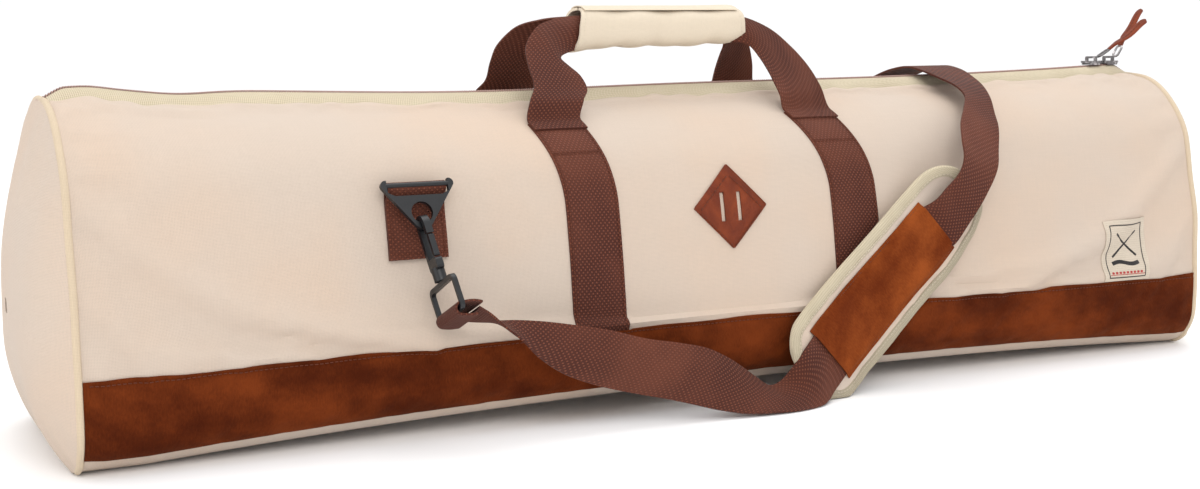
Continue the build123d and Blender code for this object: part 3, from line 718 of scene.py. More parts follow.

# %% [markdown]
# ## How far the cloth follows the zip's lips
# With the sliders run back, the top of each panel folds outward along an eye-shaped
# mouth. The CAD frame turns each lip as a rigid flap. The canvas is one piece, so how far
# it follows the flap is worked out for each place: fully in the middle of the mouth, not
# at all below it and at its ends.

# %% How much a place follows the opening lip
MOUTH = tuple(corner.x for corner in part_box("front_lip_panel"))
HINGE_Z = 0.2257


def lip_share(points):
    x, z = points[:, 0], points[:, 2]
    along = soft_step(x, MOUTH[0] - 0.035, MOUTH[0] + 0.110)
    along = along * (1 - soft_step(x, MOUTH[1] - 0.072, MOUTH[1] + 0.020))
    return along * soft_step(z, HINGE_Z - 0.040, HINGE_Z + 0.030)


def share_out(piece, share_at):
    """Works out from each place of a piece how much it follows a lip."""
    rest = np.empty(len(piece.data.vertices) * 3)
    piece.data.vertices.foreach_get("co", rest)
    share = share_at(rest.reshape(-1, 3)).astype(np.float32)


def open_with(piece):
    """Bakes a piece's transform and works out how much each place follows a lip."""
    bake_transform(piece)
    share_out(piece, lip_share)


# %% [markdown]
# ## The long panels
# Each panel is canvas outside and foam inside, sewn and turned as one, so it is one slab
# six millimetres thick that thins to a folded edge at the zip.

# %% Front and back panels
def across_panel(word):
    top = skins[word].top
    body = np.linspace(0, top - 0.012, 74)
    fold = top - np.array([0.0095, 0.0075, 0.006, 0.0045, 0.0032, 0.002, 0.001, 0.0])
    return np.concatenate([body, fold])


def face_out(word, *grids):
    """Grids in the order that makes their faces point away from the bag."""
    return grids if word == "front" else tuple(g[::-1] for g in grids)


ALONG = np.linspace(-HALF_LENGTH, HALF_LENGTH, 281)
for word in SIDES:
    skin = skins[word]
    s = across_panel(word)[None, :]
    from_top = skin.top - s
    roll = 0.0010 * hill(from_top, 0.0042, 0.0026) - 0.0012 * hill(from_top, 0.0, 0.0012)
    thick = 0.0018 + 0.0042 * soft_step(from_top, 0.004, 0.02)
    outside = skin.spot(ALONG[:, None], s, roll)
    inside = skin.spot(ALONG[:, None], s, roll - thick)
    panel = slab(f"{word}_panel_cloth", *face_out(word, outside, inside), "canvas")
    open_with(panel)
    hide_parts(f"{word}_panel", f"{word}_foam", f"{word}_lip_panel", f"{word}_lip_foam")

    s = np.linspace(0.004, skin.top - 0.006, 60)[None, :]
    outside = skin.spot(ALONG[4:-4, None], s, -0.0072)
    inside = skin.spot(ALONG[4:-4, None], s, -0.0078)
    inner = slab(f"lining_{word}", *face_out(word, outside, inside), "lining")
    open_with(inner)
    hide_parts("lining")
    print(word, "panel", len(panel.data.polygons), "faces")


# %% Bottom panel and the board inside it
def floor_points(x, lift):
    """A row across the bottom, from the front seam to the back one."""
    corner = np.linspace(seam_angle, -pi / 2, 12)
    radius = CORNER_R - lift
    y = np.concatenate([HALF_WIDTH - CORNER_R + radius * np.cos(corner), np.linspace(0.07, 0.0, 6)])
    z = np.concatenate([CORNER_R + radius * np.sin(corner), np.full(6, lift)])
    y, z = np.concatenate([-y, y[-2::-1]]), np.concatenate([z, z[-2::-1]])
    grid = np.empty((len(x), len(y), 3))
    grid[..., 0], grid[..., 1] = x[:, None], y[None]
    grid[..., 2] = z[None] + belly_lift(x)[:, None]
    return grid


outside, inside = (floor_points(ALONG, lift)[:, ::-1] for lift in (0.0, 0.0013))
sole = slab("bottom_panel_cloth", outside, inside, "canvas")
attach(sole, "shell")
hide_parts("bottom_panel")

BOARD_HALF_Y, BOARD_T = 0.076, 0.0036
board_x = np.linspace(-HALF_LENGTH + 0.014, HALF_LENGTH - 0.014, 90)
board_y = np.linspace(-BOARD_HALF_Y, BOARD_HALF_Y, 12)
under = np.empty((len(board_x), len(board_y), 3))
under[..., 0], under[..., 1] = board_x[:, None], board_y[None]
under[..., 2] = 0.0018 + belly_lift(board_x)[:, None]
over = under + np.array([0, 0, BOARD_T])
board = slab("base_board_bent", over, under, "board")
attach(board, "shell")
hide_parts("base_board")
outside, inside = (over + np.array([0, 0, gap]) for gap in (0.0012, 0.0006))
liner = slab("lining_bottom", outside, inside, "lining")
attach(liner, "shell")
print("belly lifts", round(float(belly_lift(ALONG).max()) * 1000, 1), "mm")


# %% [markdown]
# ## The stuffed ends and their piping
# An end panel is cut to the section's outline and sewn in over a piping cord. Foam and
# the hardware behind it push it out, so it is a shallow dome that puckers where the
# straight cloth is eased round the tight lower corners.

# %% End outline
def even_ring(ring, count):
    """A closed ring of points, spaced evenly."""
    looped = np.concatenate([ring, ring[:1]])
    reach = lengths(looped[:, None], 0)[:, 0]
    even = np.linspace(0, reach[-1], count + 1)[:-1]
    return np.stack([np.interp(even, reach, column) for column in looped.T], axis=-1)


def end_outline(x):
    """The settled section at one end, as a closed ring from the ridge down the front."""
    s = np.linspace(SKIN - TOP_TRIM, 0, 46)
    front = skins["front"].spot(x, s)
    back = skins["back"].spot(x, s[::-1])
    below = floor_points(np.array([x]), 0.0)[0][1:-1]
    return even_ring(np.concatenate([front, below, back]), 180)


# %% End panels and piping
PIPING_R = 0.003
DOME, RINGS = 0.031, 30                            # how far the end bulges, and its rings
DOME_CENTRE = np.array([0.0, 0.118])
SECTION_MIDDLE = np.array([0, 0, 0.14])
for word, outward in {"left": -1, "right": 1}.items():
    ring = end_outline(outward * HALF_LENGTH)
    seam_x = outward * (HALF_LENGTH + 2 * PIPING_R)
    theta = np.arange(len(ring)) / len(ring) * 2 * pi
    r = (np.linspace(1, 0.02, RINGS) ** 0.8)[:, None]
    flat = DOME_CENTRE + (ring[None, :, 1:] - DOME_CENTRE) * r[..., None]
    high = flat[..., 1]
    swell = (1 - r**3.2) * (1 - 0.45 * soft_step(high, 0.13, 0.27))
    swell = swell * (1 - 0.15 * soft_step(0.09 - high, 0, 0.08))
    tight = 0.5 + 0.5 * hill(high, 0.02, 0.035) + 0.35 * hill(high, 0.27, 0.03)
    pucker = np.sin(theta * 46 + 1.4 * np.sin(theta * 7)) * r**7 * (1 - r**24) * tight
    folds = np.sin((flat[..., 0] + 0.25 * high) * 78 + outward) * r**2 * (1 - r) * 3.2
    shape = np.empty((*flat.shape[:2], 3))
    shape[..., 0] = seam_x + outward * (DOME * swell + 0.0013 * pucker + 0.0021 * folds)
    shape[..., 1:] = flat
    closed = np.concatenate([shape, shape[:, :1]], axis=1)
    outer = closed if outward < 0 else closed[::-1]
    inner = outer - np.array([outward * 0.0014, 0, 0])
    panel = slab(f"end_panel_{word}_cloth", outer, inner, "canvas", cloth_uv=outer[..., 1:])
    weld(panel, 2e-5)
    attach(panel, "shell")
    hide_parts(f"end_panel_{word}")

    path = ring.copy()
    path[:, 0] = outward * (HALF_LENGTH + PIPING_R)
    path[:, 2] = np.maximum(path[:, 2], PIPING_R + 0.0002)
    path[:, 1:] -= unit(path - SECTION_MIDDLE)[:, 1:] * PIPING_R * 0.55
    path[:, 2] = np.maximum(path[:, 2], PIPING_R + 0.0002)
    piping = tube(f"piping_{word}_cord", path, PIPING_R, "piping", around=12, closed=True)
    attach(piping, "shell")
    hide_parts(f"piping_{word}")


# %% [markdown]
# ## The zip
# A moulded coil is sewn to a ribbed tape on each side, and the tapes rise to the ridge.
# The coil is a helix, one turn to each tooth, so it is swept as a wire and not drawn on.

# %% Zip tapes and coils
COIL_Z, TOOTH_PITCH = 0.2882, 0.0022


def ridge_z(x):
    over_end = 0.010 * soft_step(np.abs(x), HALF_LENGTH - 0.016, HALF_LENGTH + 0.010)
    return COIL_Z - ridge_sag(x) - over_end


for word, side in SIDES.items():
    skin = skins[word]
    x = np.linspace(-HALF_LENGTH, HALF_LENGTH, 560)
    seam = skin.spot(x, skin.top - 0.0045, -0.0022)
    seam_top = skin.spot(x, skin.top, -0.0016)
    crest = np.stack([x, np.full_like(x, side * 0.0036), ridge_z(x) - 0.0006], axis=-1)
    shares = np.linspace(0, 1, 7)[None, :, None]
    lower = seam_top[:, None] * (1 - shares) + crest[:, None] * shares
    lower = np.concatenate([seam[:, None], lower], axis=1)
    lower[..., 2] += 0.0009 * np.sin(pi * np.linspace(0, 1, 8))[None]
    up = np.array([0, side * 0.35, 0.94]) * 0.0010
    tape = slab(f"zip_tape_{word}_woven", *face_out(word, lower + up, lower), "grosgrain")
    open_with(tape)
    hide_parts(f"zip_tape_{word}", "zip_tape_ends")

    turns = int((2 * HALF_LENGTH + 0.012) / TOOTH_PITCH)
    t = np.arange(turns * 8 + 1) / 8.0
    along = -HALF_LENGTH - 0.006 + t * TOOTH_PITCH
    across = side * (0.0019 + 0.0014 * np.cos(2 * pi * t))
    up = ridge_z(along) + 0.0002 + 0.0012 * np.sin(2 * pi * t)
    wire = np.stack([along, across, up], axis=-1)
    coil = tube(f"zip_coil_{word}_wire", wire, 0.00055, "coil", around=5)
    open_with(coil)
    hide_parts(f"zip_coil_{word}", "zip_coil_ends")
print("zip teeth on each side", turns)


# %% [markdown]
# ## Bands and webbing sewn to the cloth
# The suede band and the handle legs are flat goods laid on the settled skin and sewn down
# through it. They follow it exactly, a thread's depth above, and the band humps where the
# webbing runs in beneath it.

# %% Suede band
WEB_W, WEB_T, CLEAR = 0.050, 0.0018, 0.0002       # webbing, and its gap to the cloth
LEG_LEAN = {"left": (-0.127, -0.147), "right": (0.141, 0.111)}     # centre low and high
LEG_TOP = climb(0.262)
BAND_TOP = climb(BAND_Z)


def leg_centre(which, s):
    low, high = LEG_LEAN[which]
    return low + (high - low) * soft_step(s, climb(0.19), climb(0.275))


def over_webbing(x, s):
    hump = 0 * x
    for which in LEG_LEAN:
        beside = np.abs(x - leg_centre(which, BAND_TOP)) - WEB_W / 2
        hump = hump + 0.0019 * (1 - soft_step(beside, 0.0, 0.004))
    return hump * soft_step(s, BAND_TOP - 0.016, BAND_TOP - 0.007)


for word in SIDES:
    skin = skins[word]
    hem = BAND_TOP - np.array([0.0018, 0.0008, 0])
    s = np.concatenate([np.linspace(0.0005, BAND_TOP - 0.003, 22), hem])[None, :]
    x = np.linspace(-HALF_LENGTH, HALF_LENGTH, 421)[:, None]
    edge = BAND_TOP - s
    wave = 0.0006 * np.sin(x * 71.0) + 0.0005 * np.sin(x * 33.0 + 1.0)
    sewn = 0.0005 * hill(edge, 0.0035, 0.0012)
    lift = 0.0014 + over_webbing(x, s) + 0.0006 * rumple(x, s, 21.0, (14.0, 22.0)) ** 2 - sewn
    s_now = s + wave * soft_step(s, BAND_TOP - 0.02, BAND_TOP)
    outside = skin.spot(x, s_now, lift)
    inside = skin.spot(x, s_now, lift - 0.0013)
    band = slab(f"suede_band_{word}_hide", *face_out(word, outside, inside), "suede_band")
    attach(band, "shell")
    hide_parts(f"suede_band_{word}")
    line_x = np.linspace(-HALF_LENGTH + 0.004, HALF_LENGTH - 0.004, 400)
    line_s = np.full_like(line_x, BAND_TOP - 0.0035)
    points = skin.spot(line_x, line_s, 0.0016 + over_webbing(line_x, line_s))
    sewing = stitches(f"suede_band_{word}_sewing", [(points, skin.last_normal)], "thread_brown")
    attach(sewing, "shell")


# %% Handle legs
def leg_grid(skin, which, s, lift):
    u = np.linspace(-0.5, 0.5, 13)[None, :]
    rows = s[:, None]
    edge = 0.0007 * np.abs(2 * u) ** 6
    return skin.spot(leg_centre(which, rows) + u * WEB_W, rows, lift - edge)


def thread_path(skin, x, s, lift):
    """A line to stitch along: its points and normals, just above the cloth."""
    points = skin.spot(x, s, lift)
    return points, skin.last_normal.copy()


for word in SIDES:
    skin = skins[word]
    lines = []
    for which in LEG_LEAN:
        s = np.linspace(BAND_TOP - 0.007, LEG_TOP + 0.001, 70)
        outside = leg_grid(skin, which, s, CLEAR + WEB_T)
        inside = leg_grid(skin, which, s, CLEAR)
        leg = slab(f"handle_leg_{word}_{which}", *face_out(word, outside, inside), "webbing")
        open_with(leg)
        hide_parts(f"handle_leg_lower_{word}", f"handle_leg_upper_{word}")
        sewn = np.linspace(BAND_TOP + 0.001, LEG_TOP - 0.002, 50)
        for u in (-0.45, 0.45):
            x = leg_centre(which, sewn) + u * WEB_W
            lines.append(thread_path(skin, x, sewn, CLEAR + WEB_T))
        for height in (0.262, 0.2605, 0.236, 0.2345):
            s_line = climb(height) - 0.001
            x = leg_centre(which, s_line) + np.linspace(-0.45, 0.45, 12) * WEB_W
            lines.append(thread_path(skin, x, s_line, CLEAR + WEB_T))
    sewing = stitches(f"handle_leg_{word}_sewing", lines, "thread_brown", pitch=0.0032)
    open_with(sewing)


# %% [markdown]
# ## Handle loops and the grip
# Above its last stitches each leg stands free. The webbing has to turn a quarter circle in
# its own plane, which flat goods cannot do, so it rolls its inner edge under and enters the
# grip half folded. Each loop is a ribbon given by its two edges, with a hollow where it rolls.

# %% Loops
def mm(*stations):
    return np.array(stations, float) * MM


# outer edge, then inner edge, from the left leg over the grip to the right leg
LOOP = mm(
    (-171.5, -64.5, 261.5, -122.5, -64.5, 262.5),
    (-166, -59, 271, -115, -59, 270),
    (-158, -50, 284, -107, -50, 279),
    (-158, -38, 301, -110, -42, 291),
    (-155, -27, 318, -118, -35, 300),
    (-143, -19, 332, -122, -29, 306),
    (-122, -10, 340, -112, -20, 311),
    (-95, -6.5, 343, -92, -13, 315),
    (-40, -6, 344, -40, -12, 317),
    (20, -6, 344, 20, -12, 319),
    (58, -6.5, 344, 56, -13, 320),
    (80, -10, 341, 75, -20, 317),
    (99, -20, 331, 80, -32, 306),
    (114, -34, 314, 83, -44, 293),
    (126, -47, 295, 85, -53, 281),
    (133, -57, 277, 87, -60, 270),
    (136.5, -64.5, 261.5, 87, -64.5, 262.5),
)
HOLLOW = np.array([0, 0, 1, 2, 5, 7, 7, 4, 3, 3, 4, 7, 5, 3, 1, 0, 0]) * MM
LOOP_ROWS = 190


def sewn_end(skin, which, drop):
    """Both edges of a leg a little below its last stitches, just proud of the leg."""
    s = LEG_TOP - drop
    x = leg_centre(which, s) + np.array([-0.5, 0.5]) * WEB_W
    edges = skin.spot(x, s, CLEAR + 1.55 * WEB_T)
    return edges if which == "left" else edges[::-1]


for word, side in SIDES.items():
    edges = LOOP.copy()
    if side == BACK:
        edges[:, [1, 4]] *= -1
        edges[1:-1, [0, 3]] -= 0.004
    left = [sewn_end(skins[word], "left", drop).reshape(-1) for drop in (0.010, 0.004, -0.001)]
    right = [sewn_end(skins[word], "right", drop).reshape(-1) for drop in (-0.001, 0.004, 0.010)]
    edges = np.concatenate([left, edges[1:-1], right])
    hollow = np.interp(np.linspace(-2, len(LOOP) + 1, LOOP_ROWS), np.arange(len(LOOP)), HOLLOW)
    loop = ribbon(
        f"handle_loop_{word}_webbing", edges, WEB_T, "webbing",
        across=13, hollow=side * hollow, rows=LOOP_ROWS,
    )
    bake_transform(loop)
    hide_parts(f"handle_loop_{word}")


# %% Grip wrap and its flap
GRIP = (-0.098, 0.074)


def grip_shell(side, turn, along, swell=0.0):
    """Half of the wrap: turn runs 0 at the top middle to 1 at the bottom middle."""
    share = (along - GRIP[0]) / (GRIP[1] - GRIP[0])
    top = 0.3505 - 0.0010 * share - 0.0012 * np.sin(pi * share)
    low = 0.3105 + 0.0085 * share + 0.0015 * np.sin(pi * 2 * share)
    mid, tall = (top + low) / 2, (top - low) / 2
    a = pi * turn
    wide = 0.0185 + 0.0008 * np.sin(along * 90 + side) + swell
    y = np.sign(np.sin(a)) * np.abs(np.sin(a)) ** 0.72 * wide
    z = mid + np.sign(np.cos(a)) * np.abs(np.cos(a)) ** 0.62 * (tall + swell)
    lean = 0.013 * (turn - 0.5) * (1 - 1.6 * share)
    return np.stack([along - lean + 0 * y, side * y, z], axis=-1)


for word, side in SIDES.items():
    along = np.linspace(*GRIP, 60)[:, None]
    turn = np.linspace(0.012, 0.988, 40)[None, :]
    ease = 0.0006 * np.sin(along * 210 + 3 * turn) * hill(turn, 0.9, 0.3)
    ease = ease + 0.0005 * np.sin(along * 130)
    outer = grip_shell(side, turn, along, ease)
    inner = grip_shell(side, turn, along, ease - 0.0024)
    if side == FRONT:
        outer, inner = outer[:, ::-1], inner[:, ::-1]
    wrap = slab(f"grip_wrap_{word}_cloth", outer, inner, "grip")
    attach(wrap, f"{word}_handle")
    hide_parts(f"grip_wrap_{word}")
    lines = []
    for edge_x in (GRIP[0] + 0.004, GRIP[1] - 0.004):
        turn_line = np.linspace(0.08, 0.92, 30)
        points = grip_shell(side, turn_line, np.full(30, edge_x))
        lines.append((points, unit(points - np.array([0, 0, 0.331])) * np.array([0.02, 1, 1])))
    sewing = stitches(f"grip_wrap_{word}_sewing", lines, "thread_pale", pitch=0.0034)
    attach(sewing, f"{word}_handle")

along = np.linspace(GRIP[0] + 0.006, GRIP[1] - 0.007, 50)[:, None]
y = np.linspace(0.0145, -0.0150, 16)[None, :]
crown = 0.3512 - 0.0042 * np.abs(y / 0.0165) ** 2.4
crown = crown + 0.0012 * soft_step(along, 0.02, 0.066) * soft_step(y, -0.004, 0.012)
flap_top, flap_low = (
    np.stack(np.broadcast_arrays(along, y, crown + lift), axis=-1) for lift in (0.0011, CLEAR)
)
flap = slab("grip_flap_cloth", flap_top[:, ::-1], flap_low[:, ::-1], "grip")
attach(flap, "grip_flap")
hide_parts("grip_flap")
print("grip", round((GRIP[1] - GRIP[0]) * 1000), "mm long")


# %% [markdown]
# ## Patch and label
# The lash patch is a diamond of leather with two slots. Its grid runs in columns that
# shorten towards the corners, and the cells of the slots are left out, so it stays one
# clean sheet. The label is woven cloth with a raised border and a crossed-sticks emblem.

# %% Leather lash patch
def sheet_with_gaps(name, outside, inside, keep, material):
    """A slab with some cells left out, closed round every edge."""
    rows, columns = outside.shape[:2]
    count = rows * columns
    top = grid_faces(rows, columns)[keep.reshape(-1)]
    edges = {}
    for face in top.tolist():
        for a, b in zip(face, face[1:] + face[:1]):
            edges[(a, b)] = edges.get((a, b), 0) + 1
    rim = [(b, a, a + count, b + count) for (a, b) in edges if (b, a) not in edges]
    faces = np.concatenate([top, top[:, ::-1] + count, np.array(rim)])
    verts = np.concatenate([outside.reshape(-1, 3), inside.reshape(-1, 3)])
    uv = np.stack([lengths(outside, 0), lengths(outside, 1)], axis=-1).reshape(-1, 2)
    uv = np.concatenate([uv, uv])
    used = np.unique(faces)
    remap = np.zeros(len(verts), int)
    remap[used] = np.arange(len(used))
    return make_object(name, verts[used], remap[faces], uv[used], material)


PATCH_X, PATCH_Z, PATCH_HALF = 0.0085, 0.1755, 0.0365
SLOT_X, SLOT_HALF_W, SLOT_HALF_L = 0.0085, 0.0021, 0.0125
skin = skins["front"]
slot_edges = [SLOT_X - SLOT_HALF_W, SLOT_X + SLOT_HALF_W]
zones = [-PATCH_HALF, -slot_edges[1], -slot_edges[0], *slot_edges, PATCH_HALF]
counts = [16, 3, 9, 3, 16]
columns = [np.linspace(a, b, n, endpoint=False) for a, b, n in zip(zones, zones[1:], counts)]
columns = np.concatenate(columns + [[PATCH_HALF]])
is_slot = np.concatenate([np.full(n, k in (1, 3)) for k, n in enumerate(counts)])
tall = PATCH_HALF - np.abs(columns) + 0.0006
waist = np.minimum(SLOT_HALF_L, tall * 0.6)
levels = np.linspace(-tall, -waist, 9)[:-1], np.linspace(-waist, waist, 8)[:-1]
v = np.concatenate([*levels, np.linspace(waist, tall, 9)]).T
keep = np.ones((len(columns) - 1, v.shape[1] - 1), bool)
keep[is_slot, 8:15] = False
up_skin = np.linspace(0, skin.top, 200)
patch_s = np.interp(PATCH_Z + v, skin.spot(PATCH_X, up_skin)[:, 2], up_skin)
border = np.minimum(PATCH_HALF - np.abs(columns)[:, None] - np.abs(v), 0.004)
curl = 0.0003 * hill(border, 0, 0.002)
outside = skin.spot(PATCH_X + columns[:, None], patch_s, 0.0019 - curl)
inside = skin.spot(PATCH_X + columns[:, None], patch_s, CLEAR)
patch = sheet_with_gaps("lash_patch_leather", outside, inside, keep, "leather")
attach(patch, "shell")
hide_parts("lash_patch")
inset = PATCH_HALF - 0.0045
corners = [(inset, 0), (0, inset), (-inset, 0), (0, -inset), (inset, 0)]
lines = []
for (x0, z0), (x1, z1) in zip(corners, corners[1:]):
    t = np.linspace(0.03, 0.97, 12)
    height = PATCH_Z + z0 + (z1 - z0) * t
    s = np.array([climb(h) for h in height])
    lines.append(thread_path(skin, PATCH_X + x0 + (x1 - x0) * t, s, 0.0019))
sewing = stitches("lash_patch_sewing", lines, "thread_brown", pitch=0.0042)
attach(sewing, "shell")

# %% Woven label
LABEL_X = tuple(corner.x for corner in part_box("woven_label"))
LABEL_S = (BAND_TOP + 0.0005, climb(0.1415))
LABEL_W, LABEL_H = LABEL_X[1] - LABEL_X[0], LABEL_S[1] - LABEL_S[0]


def on_label(u, v, lift):
    """A place on the label: u and v run 0 to 1 across and up it."""
    bow = 0.0012 * np.sin(pi * u) * np.sin(pi * v * 0.5)
    return skin.spot(LABEL_X[0] + u * LABEL_W, LABEL_S[0] + v * LABEL_H, CLEAR + bow + lift)


u, v = np.meshgrid(np.linspace(0, 1, 30), np.linspace(0, 1, 34), indexing="ij")
label = slab("woven_label_cloth", on_label(u, v, 0.0007), on_label(u, v, 0.0), "label")
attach(label, "shell")
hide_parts("woven_label")


def thread_line(points, wide):
    """A flat raised thread along points given in label shares, as a pair of edges."""
    size = np.array([LABEL_W, LABEL_H])
    p = points * size
    ahead = unit(np.gradient(p, axis=0))
    across = np.stack([-ahead[:, 1], ahead[:, 0]], axis=-1) * wide[:, None] / 2
    return (p + across) / size, (p - across) / size


def embroider(name, points, wide, material):
    a, b = thread_line(points, np.broadcast_to(wide, (len(points),)))
    uv = np.stack([a, (a + b) / 2, b], axis=1)
    top = on_label(uv[..., 0], uv[..., 1], np.array([0.0008, 0.0011, 0.0008]))
    low = on_label(uv[..., 0], uv[..., 1], 0.0006)
    made = slab(name, top[:, ::-1], low[:, ::-1], material)
    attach(made, "shell")


def segment(a, b, count=14):
    t = np.linspace(0, 1, count)[:, None]
    return np.array(a) * (1 - t) + np.array(b) * t


FRAME_U, FRAME_V = (0.10, 0.90), (0.06, 0.92)
corners = [(FRAME_U[i], FRAME_V[j]) for i, j in ((0, 0), (1, 0), (1, 1), (0, 1))]
for number, (a, b) in enumerate(zip(corners, corners[1:] + corners[:1])):
    embroider(f"label_border_{number}", segment(a, b, 30), 0.0011, "thread_black")
stick = np.concatenate([np.linspace(0.0024, 0.0019, 10), [0.0012, 0.0012, 0.0023, 0.0016]])
embroider("label_stick_rising", segment((0.24, 0.40), (0.76, 0.80)), stick, "thread_black")
embroider("label_stick_falling", segment((0.76, 0.40), (0.24, 0.80)), stick, "thread_black")
t = np.linspace(0, 1, 24)
wave = np.stack([0.22 + 0.56 * t, 0.29 + 0.025 * np.sin(2 * pi * t)], axis=-1)
embroider("label_ribbon", wave, 0.0042, "thread_black")
for number in range(9):
    left = 0.16 + number * 0.078
    dash = segment((left, 0.135), (left + 0.045, 0.135), 4)
    embroider(f"label_dash_{number}", dash, 0.0022, "thread_red")
embroider("label_foot_line", segment((0.12, 0.105), (0.88, 0.105), 24), 0.0006, "thread_red")


# %% [markdown]
# ## Rings, hooks and their webbing tabs
# The plastic parts are the CAD's own: their shapes are right, so they only get a moulded
# finish, and all but the strap adjuster a small bevel. The tab is one strip of webbing folded
# round the ring's bar and boxed down with thread, so it is drawn as the path of its fold,
# carried along x.

# %% Moulded plastic and plated metal
HARD = {                                           # finish and width of the softened edge
    "triangle_ring": ("plastic", 0.0007),
    "snap_hook": ("plastic", 0.0007),
    "swivel_eye": ("plastic", 0.0007),
    "hook_gate": ("plastic", 0.0007),
    "strap_adjuster": ("plastic", 0),
    "zip_slider": ("nickel", 0.0003),
    "pull_link": ("nickel", 0.0003),
}
for kind, (finish, edge) in HARD.items():
    for node in [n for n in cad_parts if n.startswith(kind)]:
        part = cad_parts[node]
        part.data.materials.clear()
        part.data.materials.append(materials[finish])
        if edge:
            bevel = part.modifiers.new("edge", "BEVEL")
            bevel.width, bevel.segments = edge, 3
            bevel.limit_method, bevel.angle_limit = "ANGLE", radians(40)
        print(node, finish)

# %% Ring tabs
BAR_S, BAR_LIFT, BAR_LOOP = climb(0.210), 0.0086, 0.0040
BOX_LOW, BOX_HIGH = climb(0.157), climb(0.188)     # the box of stitches
UNDER = np.linspace(climb(0.153), BAR_S - 0.011, 16)
fold = [(s, 0.0011) for s in UNDER]                # place up the skin, and lift off it
fold += [(BAR_S - 0.006, 0.0022), (BAR_S - 0.002, 0.0041)]
turns = np.linspace(radians(200), radians(-20), 12)
fold += [(BAR_S + BAR_LOOP * sin(t), BAR_LIFT + BAR_LOOP * cos(t)) for t in turns]
fold += [(BAR_S - 0.006, 0.0086), (BAR_S - 0.010, 0.0052)]
fold += [(s, 0.0031 + 0.0016 * float(hill(s, UNDER[-1], 0.004))) for s in UNDER[::-1]]
fold = np.array(fold)
for word in SIDES:
    skin = skins[word]
    low, high = (corner.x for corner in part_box(f"ring_tab_{word}"))
    grid = skin.spot(np.linspace(low, high, 25)[:, None], fold[None, :, 0], fold[None, :, 1])
    normal = grid_normals(grid)
    outer, inner = grid + normal * WEB_T / 2, grid - normal * WEB_T / 2
    tab = slab(f"ring_tab_{word}_webbing", *face_out(word, inner, outer), "webbing")
    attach(tab, "shell")
    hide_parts(f"ring_tab_{word}")
    left, right = low + 0.003, high - 0.003
    across, up = np.linspace(left, right, 14), np.linspace(BOX_LOW, BOX_HIGH, 12)
    lines = [thread_path(skin, across, s, 0.0041) for s in (BOX_LOW, BOX_HIGH)]
    lines += [thread_path(skin, x, up, 0.0041) for x in (left, right)]
    sewing = stitches(f"ring_tab_{word}_sewing", lines, "thread_brown", pitch=0.0032)
    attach(sewing, "shell")


# %% [markdown]
# ## The shoulder strap
# One length of webbing runs from hook to hook: it leaves the front eye on edge, turns face
# on, sags to the floor, folds, climbs through the pad, crosses the ridge and does the same
# behind. Simulating it would lose that exact lie, so it is a ribbon through listed stations
# of its two edges, in millimetres. It is drawn in two lengths that meet under the suede
# patch.

# %% The strap as a ribbon
PAD_ORIGIN = np.array([157.0, -121.85, 112.0]) * MM
PAD_ALONG = np.array([0.669131, 0.086703, 0.738070])
PAD_OUT = np.array([0.0, -0.993171, 0.116671])
PAD_UP = np.cross(PAD_OUT, PAD_ALONG)
STRAP_OFF, STRAP_HALF = 0.0098, 0.0245             # the strap above the pad's back face
PAD_SLEW = 0.135                                   # the pad hangs a little off its line


def pad_bend(a, b):
    """How far the slack pad departs from a flat board, outward."""
    tip = 0.012 * soft_step(a, 0.080, 0.135) ** 1.5
    foot = 0.006 * soft_step(-a, 0.080, 0.130)
    return tip + foot - 0.0020 * np.cos(a * 17.0) + 0.0010 * np.sin(a * 52.0 + b * 30.0)


def in_pad(a, b, h):
    """A place in the pad: along it, up across it, and out from its back face."""
    a, b, h = np.broadcast_arrays(np.asarray(a, float), np.asarray(b, float), np.asarray(h, float))
    b = b * (1 - 0.24 * soft_step(a, 0.045, 0.125) * (b < 0))
    a, b = a - 0.005 + PAD_SLEW * b, b - 0.0135 - PAD_SLEW * a
    flat = PAD_ORIGIN + a[..., None] * PAD_ALONG + b[..., None] * PAD_UP
    place = flat + (h + pad_bend(a, b))[..., None] * PAD_OUT
    place[..., 2] = np.maximum(place[..., 2], 0.0008)
    return place


def pad_station(a):
    """The strap's two edges at one place along the pad."""
    return np.concatenate([in_pad(a, b, STRAP_OFF) for b in (STRAP_HALF, -STRAP_HALF)])


